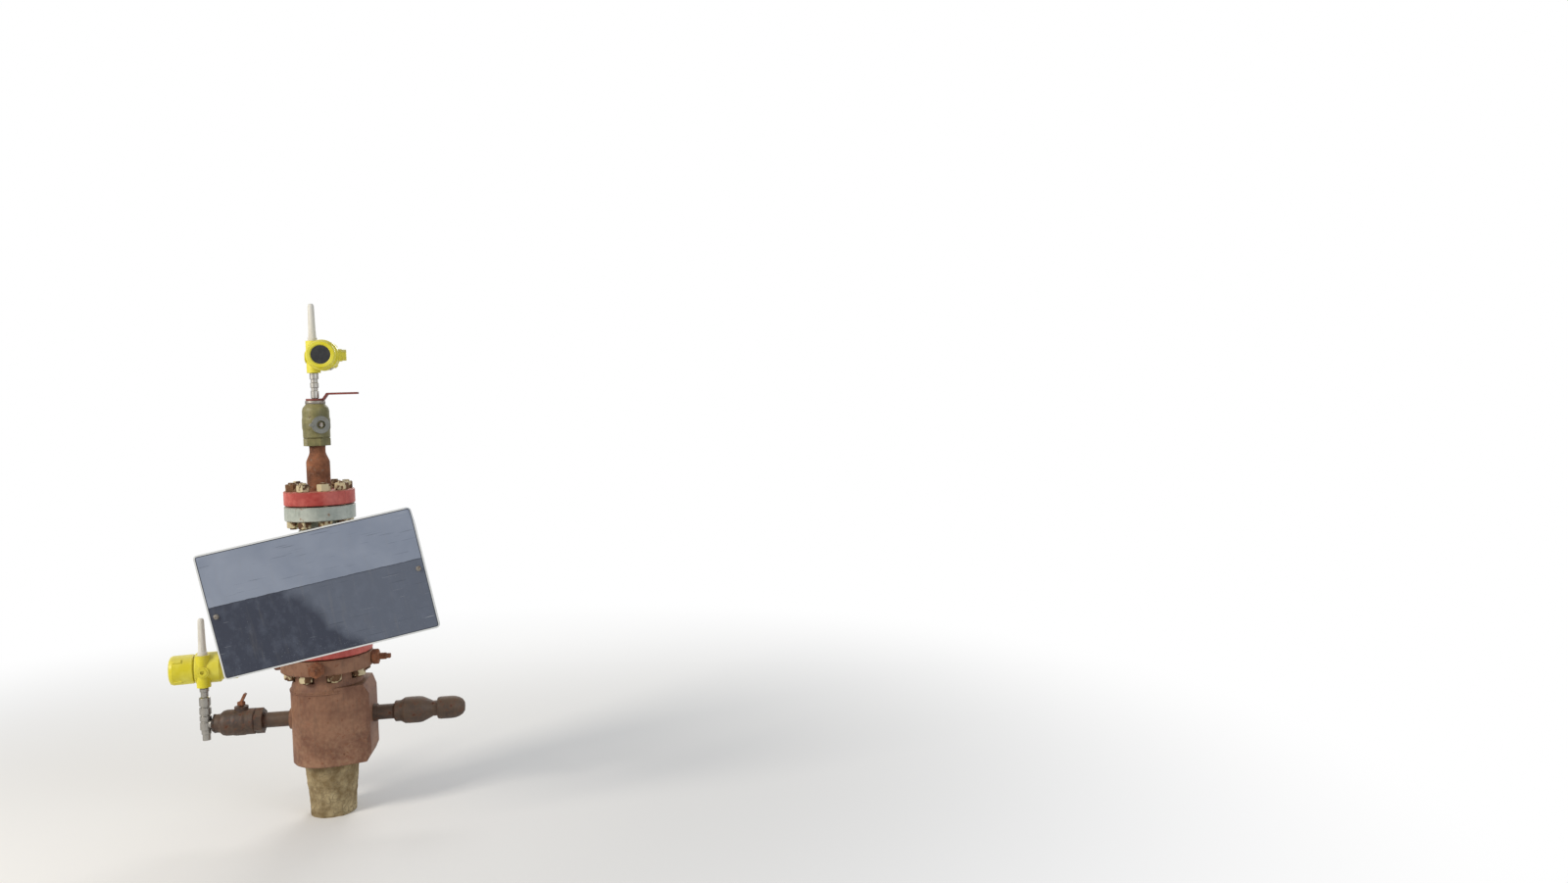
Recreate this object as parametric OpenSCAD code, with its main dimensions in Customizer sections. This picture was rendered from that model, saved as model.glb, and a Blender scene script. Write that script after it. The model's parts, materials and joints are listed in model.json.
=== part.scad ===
// A closed-in oil wellhead: surface casing stub, casing head with two side
// outlets, adapter, master gate valve, top flange, swage and a small ball
// valve, with one wireless pressure gauge on top and one on the left outlet.
// Millimetres. +Z is up the well, +X is the right-hand outlet, and the front,
// where the sign hangs, is -Y. The origin is the middle of the casing at the ground.

/* [Casing] */
// outer diameter of the surface casing
casing_d = 168.3; // [139.7:0.1:219.1]
// height of the casing head's underside above the ground
casing_stub = 218; // [150:5:300]
// diameter of the caked mud at the ground
mud_foot_d = 180; // [175:1:230]
// diameter of the caked mud under the casing head
mud_top_d = 206; // [180:1:240]

/* [Casing head] */
// diameter of the casing head's barrel
head_d = 285; // [230:5:340]
// length of the barrel
head_barrel = 294; // [240:2:340]
// length of the shoulder between barrel and flange
head_shoulder = 77; // [60:1:90]
// height of the two outlets above the barrel's foot
outlet_rise = 171; // [120:1:200]
// width of the flat pad round the right outlet
pad_w = 190; // [150:1:200]
// height of that pad, which starts at the barrel's foot
pad_h = 312; // [280:1:325]
// distance of the pad's face from the well's axis
pad_face = 170; // [160:1:180]

/* [Lower flange pair] */
// outer diameter of the casing head's flange
low_flange_d = 349.3; // [330:0.1:400]
// thickness of the casing head's flange
low_flange_t = 58.7; // [46:0.1:64]
// bolt circle of the lower flange pair
low_circle = 279.4; // [260:0.1:300]
// distance from the axis to the lock screws' tips
lock_reach = 246; // [215:1:260]

/* [Upper flanges] */
// outer diameter of the master valve's flanges
flange_d = 266.7; // [240:0.1:300]
// thickness of those flanges
flange_t = 55.6; // [46:0.1:60]
// bolt circle of those flanges
flange_circle = 203.2; // [190:0.1:215]
// gap that a ring gasket keeps between two flanges
ring_gap = 5; // [3:0.5:7]
// number of studs in each flange pair
stud_count = 8; // [4:4:12]
// diameter of the studs
stud_d = 28.6; // [22:0.1:32]
// nut size across its flats
nut_flats = 46; // [36:0.5:50]

/* [Adapter and master valve] */
// height of the adapter between the two flange pairs
adapter_h = 152; // [151:1:260]
// face to face length of the master valve
valve_length = 435.6; // [420:0.1:480]
// diameter of the valve's upright barrel
valve_barrel_d = 168; // [140:1:180]
// diameter of the valve's cross barrel, which holds the gate
cross_d = 196; // [180:1:210]
// distance from the axis to the bonnet joint
bonnet_joint = 142; // [138:1:150]
// distance from the axis to the handwheel's middle plane
wheel_reach = 490; // [470:1:520]
// outer diameter of the handwheel
wheel_d = 300; // [250:5:310]

/* [Swage and pipe] */
// large end of the swage
swage_big = 88.9; // [73:0.1:101.6]
// small end of the swage, and outer diameter of the two inch pipe
pipe_d = 60.3; // [48.3:0.1:73]
// height of the swage above the top flange
swage_h = 177; // [150:5:220]

/* [Ball valves] */
// length of a ball valve
ball_length = 180; // [150:1:200]
// diameter of its body
ball_d = 102; // [90:1:110]
// size of its hexagonal end across the flats
ball_hex = 90; // [80:1:96]
// diameter of the turning stem
ball_stem_d = 16; // [12:1:18]
// distance of the turning stem from the hexagonal end
ball_stem_rise = 84; // [76:1:92]
// clearance around a turning stem
turn_gap = 0.05; // [0.02:0.01:0.09]
// reach of the top valve's lever, which hangs over the gauge's stem
lever_reach = 165; // [140:5:220]

/* [Gauges] */
// outer diameter of a gauge's housing
gauge_d = 122; // [112:1:134]
// length of a gauge's housing over both covers
gauge_length = 248; // [230:2:260]
// outer diameter of a gauge's window
window_d = 73; // [60:1:80]
// distance between the housing's axis and the mast
gauge_offset = 37; // [30:1:45]
// height of an antenna above the housing's axis
antenna_top = 206; // [150:1:230]
// height of the top gauge's stem
top_stem_h = 102; // [102:1:150]
// direction the top gauge faces, from the front towards the right
top_gauge_turn = 8; // [-20:1:40]
// direction the left gauge faces, from the front towards the right
left_gauge_turn = 100; // [60:1:110]

/* [Side runs] */
// distance from the axis to the left gauge's column
column_x = 469; // [440:1:500]
// height of the left gauge's axis above the outlets
column_rise = 219; // [215:1:250]
// length of the right-hand valve
side_valve_length = 168; // [150:1:180]
// distance from the axis to the tip of the right-hand bull plug
bull_tip = 531; // [520:1:560]

/* [Sign] */
// width of the sign
sign_w = 762; // [600:2:900]
// height of the sign
sign_h = 457; // [380:1:520]
// thickness of the sign's sheet
sign_t = 3; // [2:0.5:5]
// angle the sign has slipped round, seen from the front
sign_roll = 11; // [0:0.5:20]
// angle its top right corner is bent back
sign_bend = 48; // [10:2:60]
// distance of the sign's middle right of the well's axis
sign_x = 99; // [60:1:110]
// height of the sign's middle
sign_z = 974; // [960:1:990]

/* [Hidden] */
$fn = 96;
head_z = casing_stub;
outlet_z = head_z + outlet_rise;
low_flange_z = head_z + head_barrel + head_shoulder;
adapter_z = low_flange_z + low_flange_t + ring_gap;
valve_z = adapter_z + adapter_h + ring_gap;
top_flange_z = valve_z + valve_length + ring_gap;
swage_z = top_flange_z + flange_t;
ball_z = swage_z + swage_h;
lever_t = 8;
gland_flats = 54;
gland_h = 26;
top_stem_z = ball_z + ball_length + lever_t;
gauge_foot = 8;
antenna_collar = 18;
antenna_seat = sqrt(pow(gauge_d / 2, 2) - pow(gauge_offset - antenna_collar, 2)) + 1;
top_gauge_z = top_stem_z + top_stem_h + gauge_foot + gauge_d / 2;
left_gauge_z = outlet_z + column_rise;
stud_end = 6;
tapped_depth = 40;
ring_w = 11.1;
ring_depth = 7;
low_ring_d = 181;
ring_d = 136.5;
valve_mid = valve_z + valve_length / 2;
pipe_r = pipe_d / 2;
left_valve_x = 250;
right_valve_x = 254;
bonnet_t = 40;
bonnet_h = 128;
yoke_h = 108;
bonnet_stud_d = 22.2;
bonnet_stud_depth = 28;
valve_stem_d = 32;
rim_r = 11;
strap_t = 5;
sign_back = wheel_reach + rim_r + strap_t;

// the piece to draw, or all of them

// copies its children round a vertical axis, half a step off the outlets' line
module around(count) {
    for (i = [0 : count - 1]) {
        rotate([0, 0, (i + 0.5) * 360 / count])
        children();
    }
}

// lays its children's +Z axis along +X
module along_x() {
    rotate([0, 90, 0])
    children();
}

// lays its children's +Z axis along -Y
module to_front() {
    rotate([90, 0, 0])
    children();
}

// a hexagonal nut on its stud, with flats towards the well's axis
module nut(d, flats) {
    rotate([0, 0, 30])
    cylinder(d = flats / cos(30), h = d, $fn = 6);
}

// a stud with a nut at each end, clamping what lies between low and high
module stud(radius, low, high) {
    translate([radius, 0, 0]) {
        translate([0, 0, low - stud_d - stud_end])
        cylinder(d = stud_d, h = high - low + 2 * (stud_d + stud_end), $fn = 32);
        for (z = [low - stud_d, high]) {
            translate([0, 0, z])
            nut(stud_d, nut_flats);
        }
    }
}

// the holes for those studs
module stud_holes(radius, low, high, d = stud_d) {
    around(stud_count)
    translate([radius, 0, low - 1])
    cylinder(d = d, h = high - low + 2, $fn = 32);
}

// a flange with chamfered rims, standing on z
module flange(d, t, z) {
    c = 2.5;
    translate([0, 0, z])
    rotate_extrude()
    polygon([[0, 0], [d / 2 - c, 0], [d / 2, c], [d / 2, t - c], [d / 2 - c, t], [0, t]]);
}

// the groove that takes half of a ring gasket
module ring_groove(d, z, up) {
    translate([0, 0, up ? z - ring_depth : z - 1])
    difference() {
        cylinder(d = d + ring_w, h = ring_depth + 1);
        translate([0, 0, -1])
        cylinder(d = d - ring_w, h = ring_depth + 3);
    }
}

// a ring gasket that bridges the gap above z
module ring_gasket(d, z) {
    translate([0, 0, z - ring_depth])
    difference() {
        cylinder(d = d + ring_w, h = ring_gap + 2 * ring_depth);
        translate([0, 0, -1])
        cylinder(d = d - ring_w, h = ring_gap + 2 * ring_depth + 2);
    }
}

// the three rings that keep the flanges of each pair apart
module ring_gaskets() {
    color("silver") {
        ring_gasket(low_ring_d, low_flange_z + low_flange_t);
        ring_gasket(ring_d, adapter_z + adapter_h);
        ring_gasket(ring_d, valve_z + valve_length);
    }
}

module surface_casing() {
    color("saddlebrown")
    cylinder(d = casing_d, h = head_z + 96);
}

// mud and cement caked on the casing, widest under the head
module caked_mud() {
    r = casing_d / 2;
    color("tan")
    difference() {
        rotate_extrude()
        polygon([
            [r - 8, 0], [mud_foot_d / 2, 0], [mud_foot_d / 2 + 3, 22], [mud_foot_d / 2 + 2, 60],
            [mud_foot_d / 2 + 6, 105], [mud_top_d / 2 - 5, 140], [mud_top_d / 2 - 1, 172],
            [mud_top_d / 2, head_z - 12], [mud_top_d / 2 - 5, head_z], [r - 8, head_z]
        ]);
        translate([0, 0, -1])
        cylinder(r = r, h = head_z + 2);
    }
}

module casing_head() {
    r = head_d / 2;
    b = head_barrel;
    s = b + head_shoulder;
    color("sienna")
    difference() {
        union() {
            translate([0, 0, head_z])
            rotate_extrude()
            polygon([
                [0, 0], [r - 4, 0], [r, 5], [r, b - 6],
                [r + 2, b - 4], [r + 2, b + 3], [r - 3, b + 8], [r - 6, b + 20],
                [r - 12, b + 40], [r - 15, s + 1], [0, s + 1]
            ]);
            flange(low_flange_d, low_flange_t, low_flange_z);
            translate([0, 0, head_z])
            outlet_pad();
            translate([60 - r, 0, outlet_z])
            rotate([0, -90, 0])
            cylinder(d = 84, h = 66);
        }
        translate([0, 0, -1])
        cylinder(d = casing_d, h = head_z + 97);
        stud_holes(low_circle / 2, low_flange_z, low_flange_z + low_flange_t);
        around(stud_count)
        translate([low_circle / 2, 0, low_flange_z - stud_d - 9])
        cylinder(d = nut_flats / cos(30) + 6, h = stud_d + 9);
        ring_groove(low_ring_d, low_flange_z + low_flange_t, true);
        translate([pad_face - 38, 0, outlet_z])
        along_x()
        cylinder(r = pipe_r, h = 60);
        translate([38 - r - 6, 0, outlet_z])
        rotate([0, -90, 0])
        cylinder(r = pipe_r, h = 60);
        lock_places()
        cylinder(d = 34, h = 80, $fn = 48);
    }
}

// Flat pad that the right outlet is tapped in. From above, its flanks leave the
// barrel along tangents; from the side, its top and bottom slope in to the barrel.
module outlet_pad() {
    r = head_d / 2;
    c = 12;
    corner = [pad_face - c, pad_w / 2];
    turn = atan2(corner[1], corner[0]) + acos(r / norm(corner));
    touch = [r * cos(turn), r * sin(turn)];
    intersection() {
        linear_extrude(pad_h)
        polygon([
            [touch[0], -touch[1]], [corner[0], -corner[1]], [pad_face, c - corner[1]],
            [pad_face, corner[1] - c], corner, touch
        ]);
        translate([0, r, 0])
        to_front()
        linear_extrude(2 * r)
        polygon([
            [40, 0], [pad_face - 16, 0], [pad_face, 34],
            [pad_face, pad_h - 40], [pad_face - 18, pad_h], [40, pad_h]
        ]);
    }
}

// the four radial holes of the lock screws, each on its +Z axis
module lock_places() {
    for (a = [0 : 90 : 270]) {
        rotate([0, 0, a])
        translate([low_flange_d / 2 - 40, 0, low_flange_z + low_flange_t / 2])
        along_x()
        children();
    }
}

// lock screws: gland nut, screw and squared end, one solid each
module lock_screws() {
    tip = lock_reach - low_flange_d / 2 + 40;
    color("dimgray")
    lock_places() {
        cylinder(d = 34, h = 41, $fn = 48);
        translate([0, 0, 40])
        cylinder(d = gland_flats / cos(30), h = gland_h, $fn = 6);
        translate([0, 0, 39 + gland_h])
        cylinder(d = 28, h = tip - gland_h - 55);
        translate([-9, -9, tip - 17])
        cube([18, 18, 17]);
    }
}

module lower_studs() {
    color("peru")
    around(stud_count)
    stud(low_circle / 2, low_flange_z, adapter_z + low_flange_t);
}

// crossover from the lower flange to the master valve, its upper studs screwed in
module adapter() {
    top = adapter_z + adapter_h;
    neck = adapter_z + low_flange_t;
    color("firebrick")
    difference() {
        union() {
            flange(low_flange_d, low_flange_t, adapter_z);
            flange(flange_d, flange_t, top - flange_t);
            rotate_extrude()
            polygon([
                [0, neck - 1], [94, neck - 1], [94, neck], [84, neck + 12], [84, top - flange_t - 8],
                [92, top - flange_t], [92, top - flange_t + 1], [0, top - flange_t + 1]
            ]);
        }
        stud_holes(low_circle / 2, adapter_z, adapter_z + low_flange_t);
        around(stud_count)
        translate([flange_circle / 2, 0, top - tapped_depth])
        cylinder(d = stud_d, h = tapped_depth + 1, $fn = 32);
        ring_groove(low_ring_d, adapter_z, false);
        ring_groove(ring_d, top, true);
    }
}

// studs screwed into the adapter, each with one nut on the valve's flange
module middle_studs() {
    low = adapter_z + adapter_h - tapped_depth;
    high = valve_z + flange_t;
    color("peru")
    around(stud_count)
    translate([flange_circle / 2, 0, 0]) {
        translate([0, 0, low])
        cylinder(d = stud_d, h = high - low + stud_d + stud_end, $fn = 32);
        translate([0, 0, high])
        nut(stud_d, nut_flats);
    }
}

// gate valve body: two flanges on a barrel, crossed by the gate's barrel
module master_valve_body() {
    high = valve_z + valve_length;
    r = valve_barrel_d / 2 - 12;
    color("darkseagreen")
    difference() {
        union() {
            flange(flange_d, flange_t, valve_z);
            flange(flange_d, flange_t, high - flange_t);
            rotate_extrude()
            polygon([
                [0, valve_z + 1], [r, valve_z + 1], [r, valve_z + flange_t + 30],
                [r + 12, valve_z + flange_t + 44], [r + 12, high - flange_t - 44],
                [r, high - flange_t - 30], [r, high - 1], [0, high - 1]
            ]);
            translate([0, 118, valve_mid])
            to_front()
            rotate_extrude()
            polygon([
                [0, 0], [cross_d / 2 - 26, 0], [cross_d / 2 - 8, 7], [cross_d / 2, 24],
                [cross_d / 2, 118 + bonnet_joint - 40], [118, 118 + bonnet_joint - 34],
                [120, 118 + bonnet_joint - 30], [120, 118 + bonnet_joint - 2],
                [118, 118 + bonnet_joint], [0, 118 + bonnet_joint]
            ]);
        }
        stud_holes(flange_circle / 2, valve_z, valve_z + flange_t);
        stud_holes(flange_circle / 2, high - flange_t, high);
        ring_groove(ring_d, valve_z, false);
        ring_groove(ring_d, high, true);
        bonnet_places()
        translate([0, 0, -bonnet_stud_depth])
        cylinder(d = bonnet_stud_d, h = 60, $fn = 32);
    }
}

// the bonnet's stud places, each on its +Z axis towards the front
module bonnet_places() {
    translate([0, -bonnet_joint, valve_mid])
    to_front()
    around(stud_count)
    translate([96, 0, 0])
    children();
}

// lays its children on the bonnet joint, +Z towards the front
module at_bonnet() {
    translate([0, -bonnet_joint, valve_mid])
    to_front()
    children();
}

module master_valve_bonnet() {
    t = bonnet_t;
    color("darkseagreen")
    difference() {
        at_bonnet()
        rotate_extrude()
        polygon([
            [0, 0], [118, 0], [120, 2], [120, t - 2], [118, t], [70, t], [62, t + 10],
            [54, t + 44], [52, bonnet_h - 22], [58, bonnet_h - 20], [58, bonnet_h - 2],
            [56, bonnet_h], [0, bonnet_h]
        ]);
        bonnet_places()
        translate([0, 0, -1])
        cylinder(d = bonnet_stud_d, h = 60, $fn = 32);
        at_bonnet()
        cylinder(d = valve_stem_d, h = 300);
    }
}

// studs screwed into the body, each with one nut on the bonnet
module bonnet_studs() {
    d = bonnet_stud_d;
    color("peru")
    bonnet_places() {
        translate([0, 0, -bonnet_stud_depth])
        cylinder(d = d, h = bonnet_stud_depth + bonnet_t + d + stud_end, $fn = 32);
        translate([0, 0, bonnet_t])
        nut(d, 36.5);
    }
}

// bearing housing of the stem, bolted on the bonnet
module master_valve_yoke() {
    h = bonnet_h;
    color("darkseagreen")
    at_bonnet()
    difference() {
        rotate_extrude()
        polygon([
            [0, h], [56, h], [58, h + 2], [58, h + 16], [56, h + 18], [44, h + 18],
            [40, h + 24], [40, h + 70], [44, h + 74], [44, h + 96], [36, h + yoke_h], [0, h + yoke_h]
        ]);
        translate([0, 0, h - 1])
        cylinder(d = valve_stem_d, h = yoke_h + 2);
        for (a = [45 : 90 : 315]) {
            rotate([0, 0, a])
            translate([0, 0, h + 84])
            along_x()
            translate([0, 0, 38])
            cylinder(d = 8, h = 20, $fn = 32);
        }
    }
}

module master_valve_stem() {
    color("silver")
    at_bonnet()
    cylinder(d = valve_stem_d, h = wheel_reach + rim_r - 1 - bonnet_joint);
}

// spoked handwheel with its hub and nut
module handwheel() {
    ring = wheel_d / 2 - rim_r;
    color("firebrick")
    translate([0, -wheel_reach, valve_mid])
    to_front()
    difference() {
        union() {
            rotate_extrude()
            translate([ring, 0])
            circle(r = rim_r, $fn = 48);
            translate([0, 0, -40])
            cylinder(d = 62, h = 42);
            for (a = [90 : 120 : 330]) {
                rotate([0, 0, a])
                translate([0, 0, -14])
                rotate([0, 84, 0])
                cylinder(d = 18, h = ring);
            }
        }
        translate([0, 0, -60])
        cylinder(d = valve_stem_d, h = 100);
    }
}

module top_flange() {
    color("indianred")
    difference() {
        flange(flange_d, flange_t, top_flange_z);
        stud_holes(flange_circle / 2, top_flange_z, top_flange_z + flange_t);
        ring_groove(ring_d, top_flange_z, false);
        translate([0, 0, swage_z - 40])
        cylinder(d = swage_big, h = 60);
    }
}

module upper_studs() {
    color("peru")
    around(stud_count)
    stud(flange_circle / 2, top_flange_z - ring_gap - flange_t, top_flange_z + flange_t);
}

// swage nipple: three inch pipe drawn down to two inch
module swage() {
    color("sienna")
    translate([0, 0, swage_z])
    rotate_extrude()
    polygon([
        [0, -40], [swage_big / 2, -40], [swage_big / 2, swage_h - 66], [swage_big / 2 - 2, swage_h - 58],
        [pipe_r + 2, swage_h - 34], [pipe_r, swage_h - 26], [pipe_r, swage_h + 30], [0, swage_h + 30]
    ]);
}

// hexagonal end piece of a ball valve, from 0 to 34 up +Z, with its pipe socket
module ball_end() {
    difference() {
        union() {
            cylinder(d = ball_hex / cos(30), h = 30, $fn = 6);
            translate([0, 0, 29])
            cylinder(d = 78, h = 27);
        }
        translate([0, 0, -1])
        cylinder(r = pipe_r, h = 31);
    }
}

// body of a ball valve up +Z above its end piece, with a socket of radius r on top
module ball_body(r) {
    q = ball_d / 2;
    difference() {
        rotate_extrude()
        polygon([
            [0, 30], [q - 4, 30], [q, 34], [q, 62], [q + 2, 72], [q + 2, 104], [q, 114],
            [q, ball_length - 40], [q - 3, ball_length - 28], [q - 14, ball_length - 15],
            [q - 15, ball_length], [0, ball_length]
        ]);
        translate([0, 0, 29])
        cylinder(d = 78, h = 27);
        translate([0, 0, ball_length - 30])
        cylinder(r = r, h = 31);
    }
}

module top_valve_end() {
    color("darkkhaki")
    translate([0, 0, ball_z])
    ball_end();
}

// the top valve's stem axis: 28 degrees right of the front
module top_stem_place() {
    translate([0, 0, ball_z + ball_stem_rise])
    rotate([0, 0, 28])
    to_front()
    children();
}

module top_valve_body() {
    color("darkkhaki")
    difference() {
        union() {
            translate([0, 0, ball_z])
            ball_body(25);
            top_stem_place()
            translate([0, 0, 42])
            cylinder(d = 58, h = ball_d / 2 - 34);
        }
        top_stem_place()
        translate([0, 0, 30])
        cylinder(d = ball_stem_d + 2 * turn_gap, h = 60);
    }
}

// round plate of the missing lever, with the recess round the stem and its stop screw
module top_valve_plate() {
    front = ball_d / 2 + 8;
    color("gray")
    top_stem_place()
    difference() {
        union() {
            translate([0, 0, front])
            cylinder(d = 70, h = 9);
            translate([-36, 0, front])
            cylinder(d = 15, h = 16);
        }
        translate([0, 0, front - 1])
        cylinder(d = 32, h = 11);
    }
}

// the turning stem, flattened at its end
module top_valve_stem() {
    front = ball_d / 2 + 8;
    color("silver")
    top_stem_place()
    difference() {
        translate([0, 0, 30])
        cylinder(d = ball_stem_d, h = front - 30 + 14);
        for (s = [-1, 1]) {
            translate([s * ball_stem_d * 0.84 - ball_stem_d / 2, -20, front + 2])
            cube([ball_stem_d, 40, 20]);
        }
    }
}

// The valve's own flat lever, taken off and dropped over the gauge's stem. Its
// round end lies on the valve, and its arm rises in a slope to the right.
module top_valve_lever() {
    t = lever_t;
    rise = 22;
    color("darkred")
    translate([0, 0, ball_z + ball_length])
    difference() {
        union() {
            cylinder(d = 70, h = t);
            translate([0, 14, 0])
            rotate([90, 0, 0])
            linear_extrude(28)
            polygon([
                [20, 0], [34, 0], [50, rise], [lever_reach, rise], [lever_reach, rise + t],
                [46, rise + t], [30, t], [20, t]
            ]);
        }
        translate([0, 0, -1])
        cylinder(d = 36, h = t + 2);
        translate([lever_reach - 14, 0, rise - 1])
        cylinder(d = 10, h = t + 2);
    }
}

// reducing bushings: one flush in the top valve, one with a hexagon in the left valve
module gauge_bushings() {
    x0 = left_valve_x + ball_length - 30;
    color("dimgray") {
        translate([0, 0, ball_z + ball_length - 30])
        difference() {
            cylinder(r = 25, h = 30);
            translate([0, 0, 7])
            cylinder(d = 24, h = 40);
        }
        translate([-x0, 0, outlet_z])
        rotate([0, -90, 0])
        difference() {
            union() {
                cylinder(r = 25, h = 31);
                translate([0, 0, 30])
                cylinder(d = 66 / cos(30), h = 9, $fn = 6);
                translate([0, 0, 38])
                cylinder(d = 40, h = 8);
            }
            translate([0, 0, 20])
            cylinder(d = 22, h = 40);
        }
    }
}

// stainless stem of the top gauge, a chain of small fittings
module top_gauge_stem() {
    color("silver")
    translate([0, 0, top_stem_z])
    rotate_extrude()
    polygon([
        [0, -30], [12, -30], [12, 1], [15.5, 3], [15.5, 30], [13, 32], [13, 42], [16, 44],
        [16, 62], [13.5, 64], [13.5, 76], [17, 78], [17, 100],
        [12.5, 102], [12.5, top_stem_h + 20], [0, top_stem_h + 20]
    ]);
}

// A gauge is drawn with its mast on the z axis and its window towards -Y; the
// housing's axis stands gauge_offset right of the mast, at height zero.
module gauge_place(turn) {
    rotate([0, 0, turn])
    children();
}

// revolves a profile of [radius, distance from the middle towards the window]
module gauge_turned(points) {
    translate([gauge_offset, 0, 0])
    to_front()
    rotate_extrude()
    polygon(points);
}

module gauge_housing() {
    r = gauge_d / 2;
    m = gauge_length / 2;
    foot = r + gauge_foot;
    color("yellow")
    difference() {
        union() {
            gauge_turned([
                [0, 64 - m], [r - 14, 64 - m], [r - 14, 92 - m], [r - 2, 94 - m], [r, 97 - m],
                [r, m - 66], [r - 11, m - 54], [r - 14, m - 44], [0, m - 44]
            ]);
            translate([0, 0, -foot])
            cylinder(d = 52, h = foot + antenna_seat);
            translate([-29, 0, -6])
            along_x()
            cylinder(d = 46, h = 60);
            translate([gauge_offset + r - 26, 0, 0])
            along_x()
            cylinder(d = 50, h = 36);
            translate([-31, 0, -6])
            along_x()
            cylinder(d = 33, h = 30);
            translate([gauge_offset + r + 8, 0, 0])
            along_x()
            cylinder(d = 38 / cos(30), h = 18, $fn = 6);
        }
        translate([0, 0, -foot - 1])
        cylinder(d = 25, h = 21);
        translate([0, 0, 30])
        cylinder(d = 24, h = 40);
        translate([-32, 0, -6])
        along_x()
        cylinder(d = 14 / cos(30), h = 9, $fn = 6);
    }
}

// threaded front cover with its window ring
module gauge_front() {
    r = gauge_d / 2 - 7;
    m = gauge_length / 2;
    w = window_d / 2;
    color("yellow")
    gauge_turned([
        [w, m - 44], [r - 4, m - 44], [r, m - 40], [r, m - 6], [r - 4, m], [w + 4, m], [w, m - 4]
    ]);
}

module gauge_glass() {
    m = gauge_length / 2;
    w = window_d / 2;
    color("black")
    gauge_turned([[0, m - 44], [w, m - 44], [w, m - 7], [0, m - 7]]);
}

// threaded rear cover
module gauge_back() {
    r = gauge_d / 2 - 3;
    m = gauge_length / 2;
    color("yellow")
    gauge_turned([
        [0, -m], [r - 14, -m], [r - 4, 5 - m], [r, 14 - m], [r, 85 - m], [r - 2, 88 - m],
        [r - 11, 88 - m], [r - 11, 64 - m], [0, 64 - m]
    ]);
}

module gauge_antenna() {
    c = antenna_collar;
    s = antenna_seat;
    color("ivory")
    rotate_extrude()
    polygon([
        [0, 30], [12, 30], [12, s], [c, s], [c, s + 12], [c - 2.5, s + 14], [c - 4, s + 40],
        [12, antenna_top - 10], [10, antenna_top - 3], [7, antenna_top], [0, antenna_top]
    ]);
}

module at_top_gauge() {
    translate([0, 0, top_gauge_z])
    gauge_place(top_gauge_turn)
    children();
}

module at_left_gauge() {
    translate([-column_x, 0, left_gauge_z])
    gauge_place(left_gauge_turn)
    children();
}

module top_gauge_housing() {
    at_top_gauge()
    gauge_housing();
}

module top_gauge_front() {
    at_top_gauge()
    gauge_front();
}

module top_gauge_glass() {
    at_top_gauge()
    gauge_glass();
}

module top_gauge_back() {
    at_top_gauge()
    gauge_back();
}

module top_gauge_antenna() {
    at_top_gauge()
    gauge_antenna();
}

module left_nipple() {
    color("saddlebrown")
    translate([-left_valve_x - 30, 0, outlet_z])
    along_x()
    cylinder(r = pipe_r, h = left_valve_x + 30 - head_d / 2 + 32);
}

// the left valve lies with its hexagonal end towards the head
module at_left_valve() {
    translate([-left_valve_x, 0, outlet_z])
    rotate([0, -90, 0])
    children();
}

module left_valve_end() {
    color("saddlebrown")
    at_left_valve()
    ball_end();
}

module left_valve_body() {
    color("saddlebrown")
    difference() {
        union() {
            at_left_valve()
            ball_body(25);
            translate([-left_valve_x - ball_stem_rise, 0, outlet_z])
            cylinder(d = 52, h = ball_d / 2 + 12);
        }
        translate([-left_valve_x - ball_stem_rise, 0, outlet_z + 30])
        cylinder(d = ball_stem_d + 2 * turn_gap, h = 60);
    }
}

// the turning stem with its nut and the stub of the broken lever
module left_valve_stem() {
    top = ball_d / 2 + 12;
    color("dimgray")
    translate([-left_valve_x - ball_stem_rise, 0, outlet_z]) {
        translate([0, 0, 30])
        cylinder(d = ball_stem_d, h = top - 30 + 20);
        translate([0, 0, top + 5])
        cylinder(d = 27 / cos(30), h = 12, $fn = 6);
        translate([-8, -12, top + 10])
        rotate([0, 27, 0])
        cube([9, 24, 46]);
    }
}

// stainless tee, valve block and stem that carry the left gauge
module left_column() {
    x1 = left_valve_x + ball_length - 10;
    top = left_gauge_z - gauge_foot - gauge_d / 2;
    color("silver")
    union() {
        translate([-column_x, 0, 0])
        rotate_extrude()
        polygon([
            [0, outlet_z - 63], [15, outlet_z - 63], [15, outlet_z - 40], [18, outlet_z - 38],
            [18, outlet_z - 22], [22, outlet_z - 20], [22, outlet_z + 8], [19, outlet_z + 10],
            [19, outlet_z + 14], [22, outlet_z + 16], [22, outlet_z + 34], [18, outlet_z + 36],
            [18, outlet_z + 40], [22, outlet_z + 42], [22, outlet_z + 68], [17, outlet_z + 70],
            [17, outlet_z + 74], [21, outlet_z + 76], [21, outlet_z + 108], [14, outlet_z + 112],
            [14, top - 20], [17, top - 18], [17, top - 6], [12.5, top - 4], [12.5, top + 20],
            [0, top + 20]
        ]);
        translate([-column_x, 0, outlet_z])
        along_x()
        cylinder(d = 22, h = column_x - x1);
        translate([-column_x, 0, outlet_z])
        along_x()
        cylinder(d = 36, h = column_x - x1 - 26);
    }
}

module left_gauge_housing() {
    at_left_gauge()
    gauge_housing();
}

module left_gauge_front() {
    at_left_gauge()
    gauge_front();
}

module left_gauge_glass() {
    at_left_gauge()
    gauge_glass();
}

module left_gauge_back() {
    at_left_gauge()
    gauge_back();
}

module left_gauge_antenna() {
    at_left_gauge()
    gauge_antenna();
}

module right_nipple() {
    color("saddlebrown")
    translate([pad_face - 38, 0, outlet_z])
    along_x()
    union() {
        cylinder(r = pipe_r, h = right_valve_x + 30 - pad_face + 38);
        translate([0, 0, 38])
        cylinder(d = 71, h = 16);
    }
}

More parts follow.
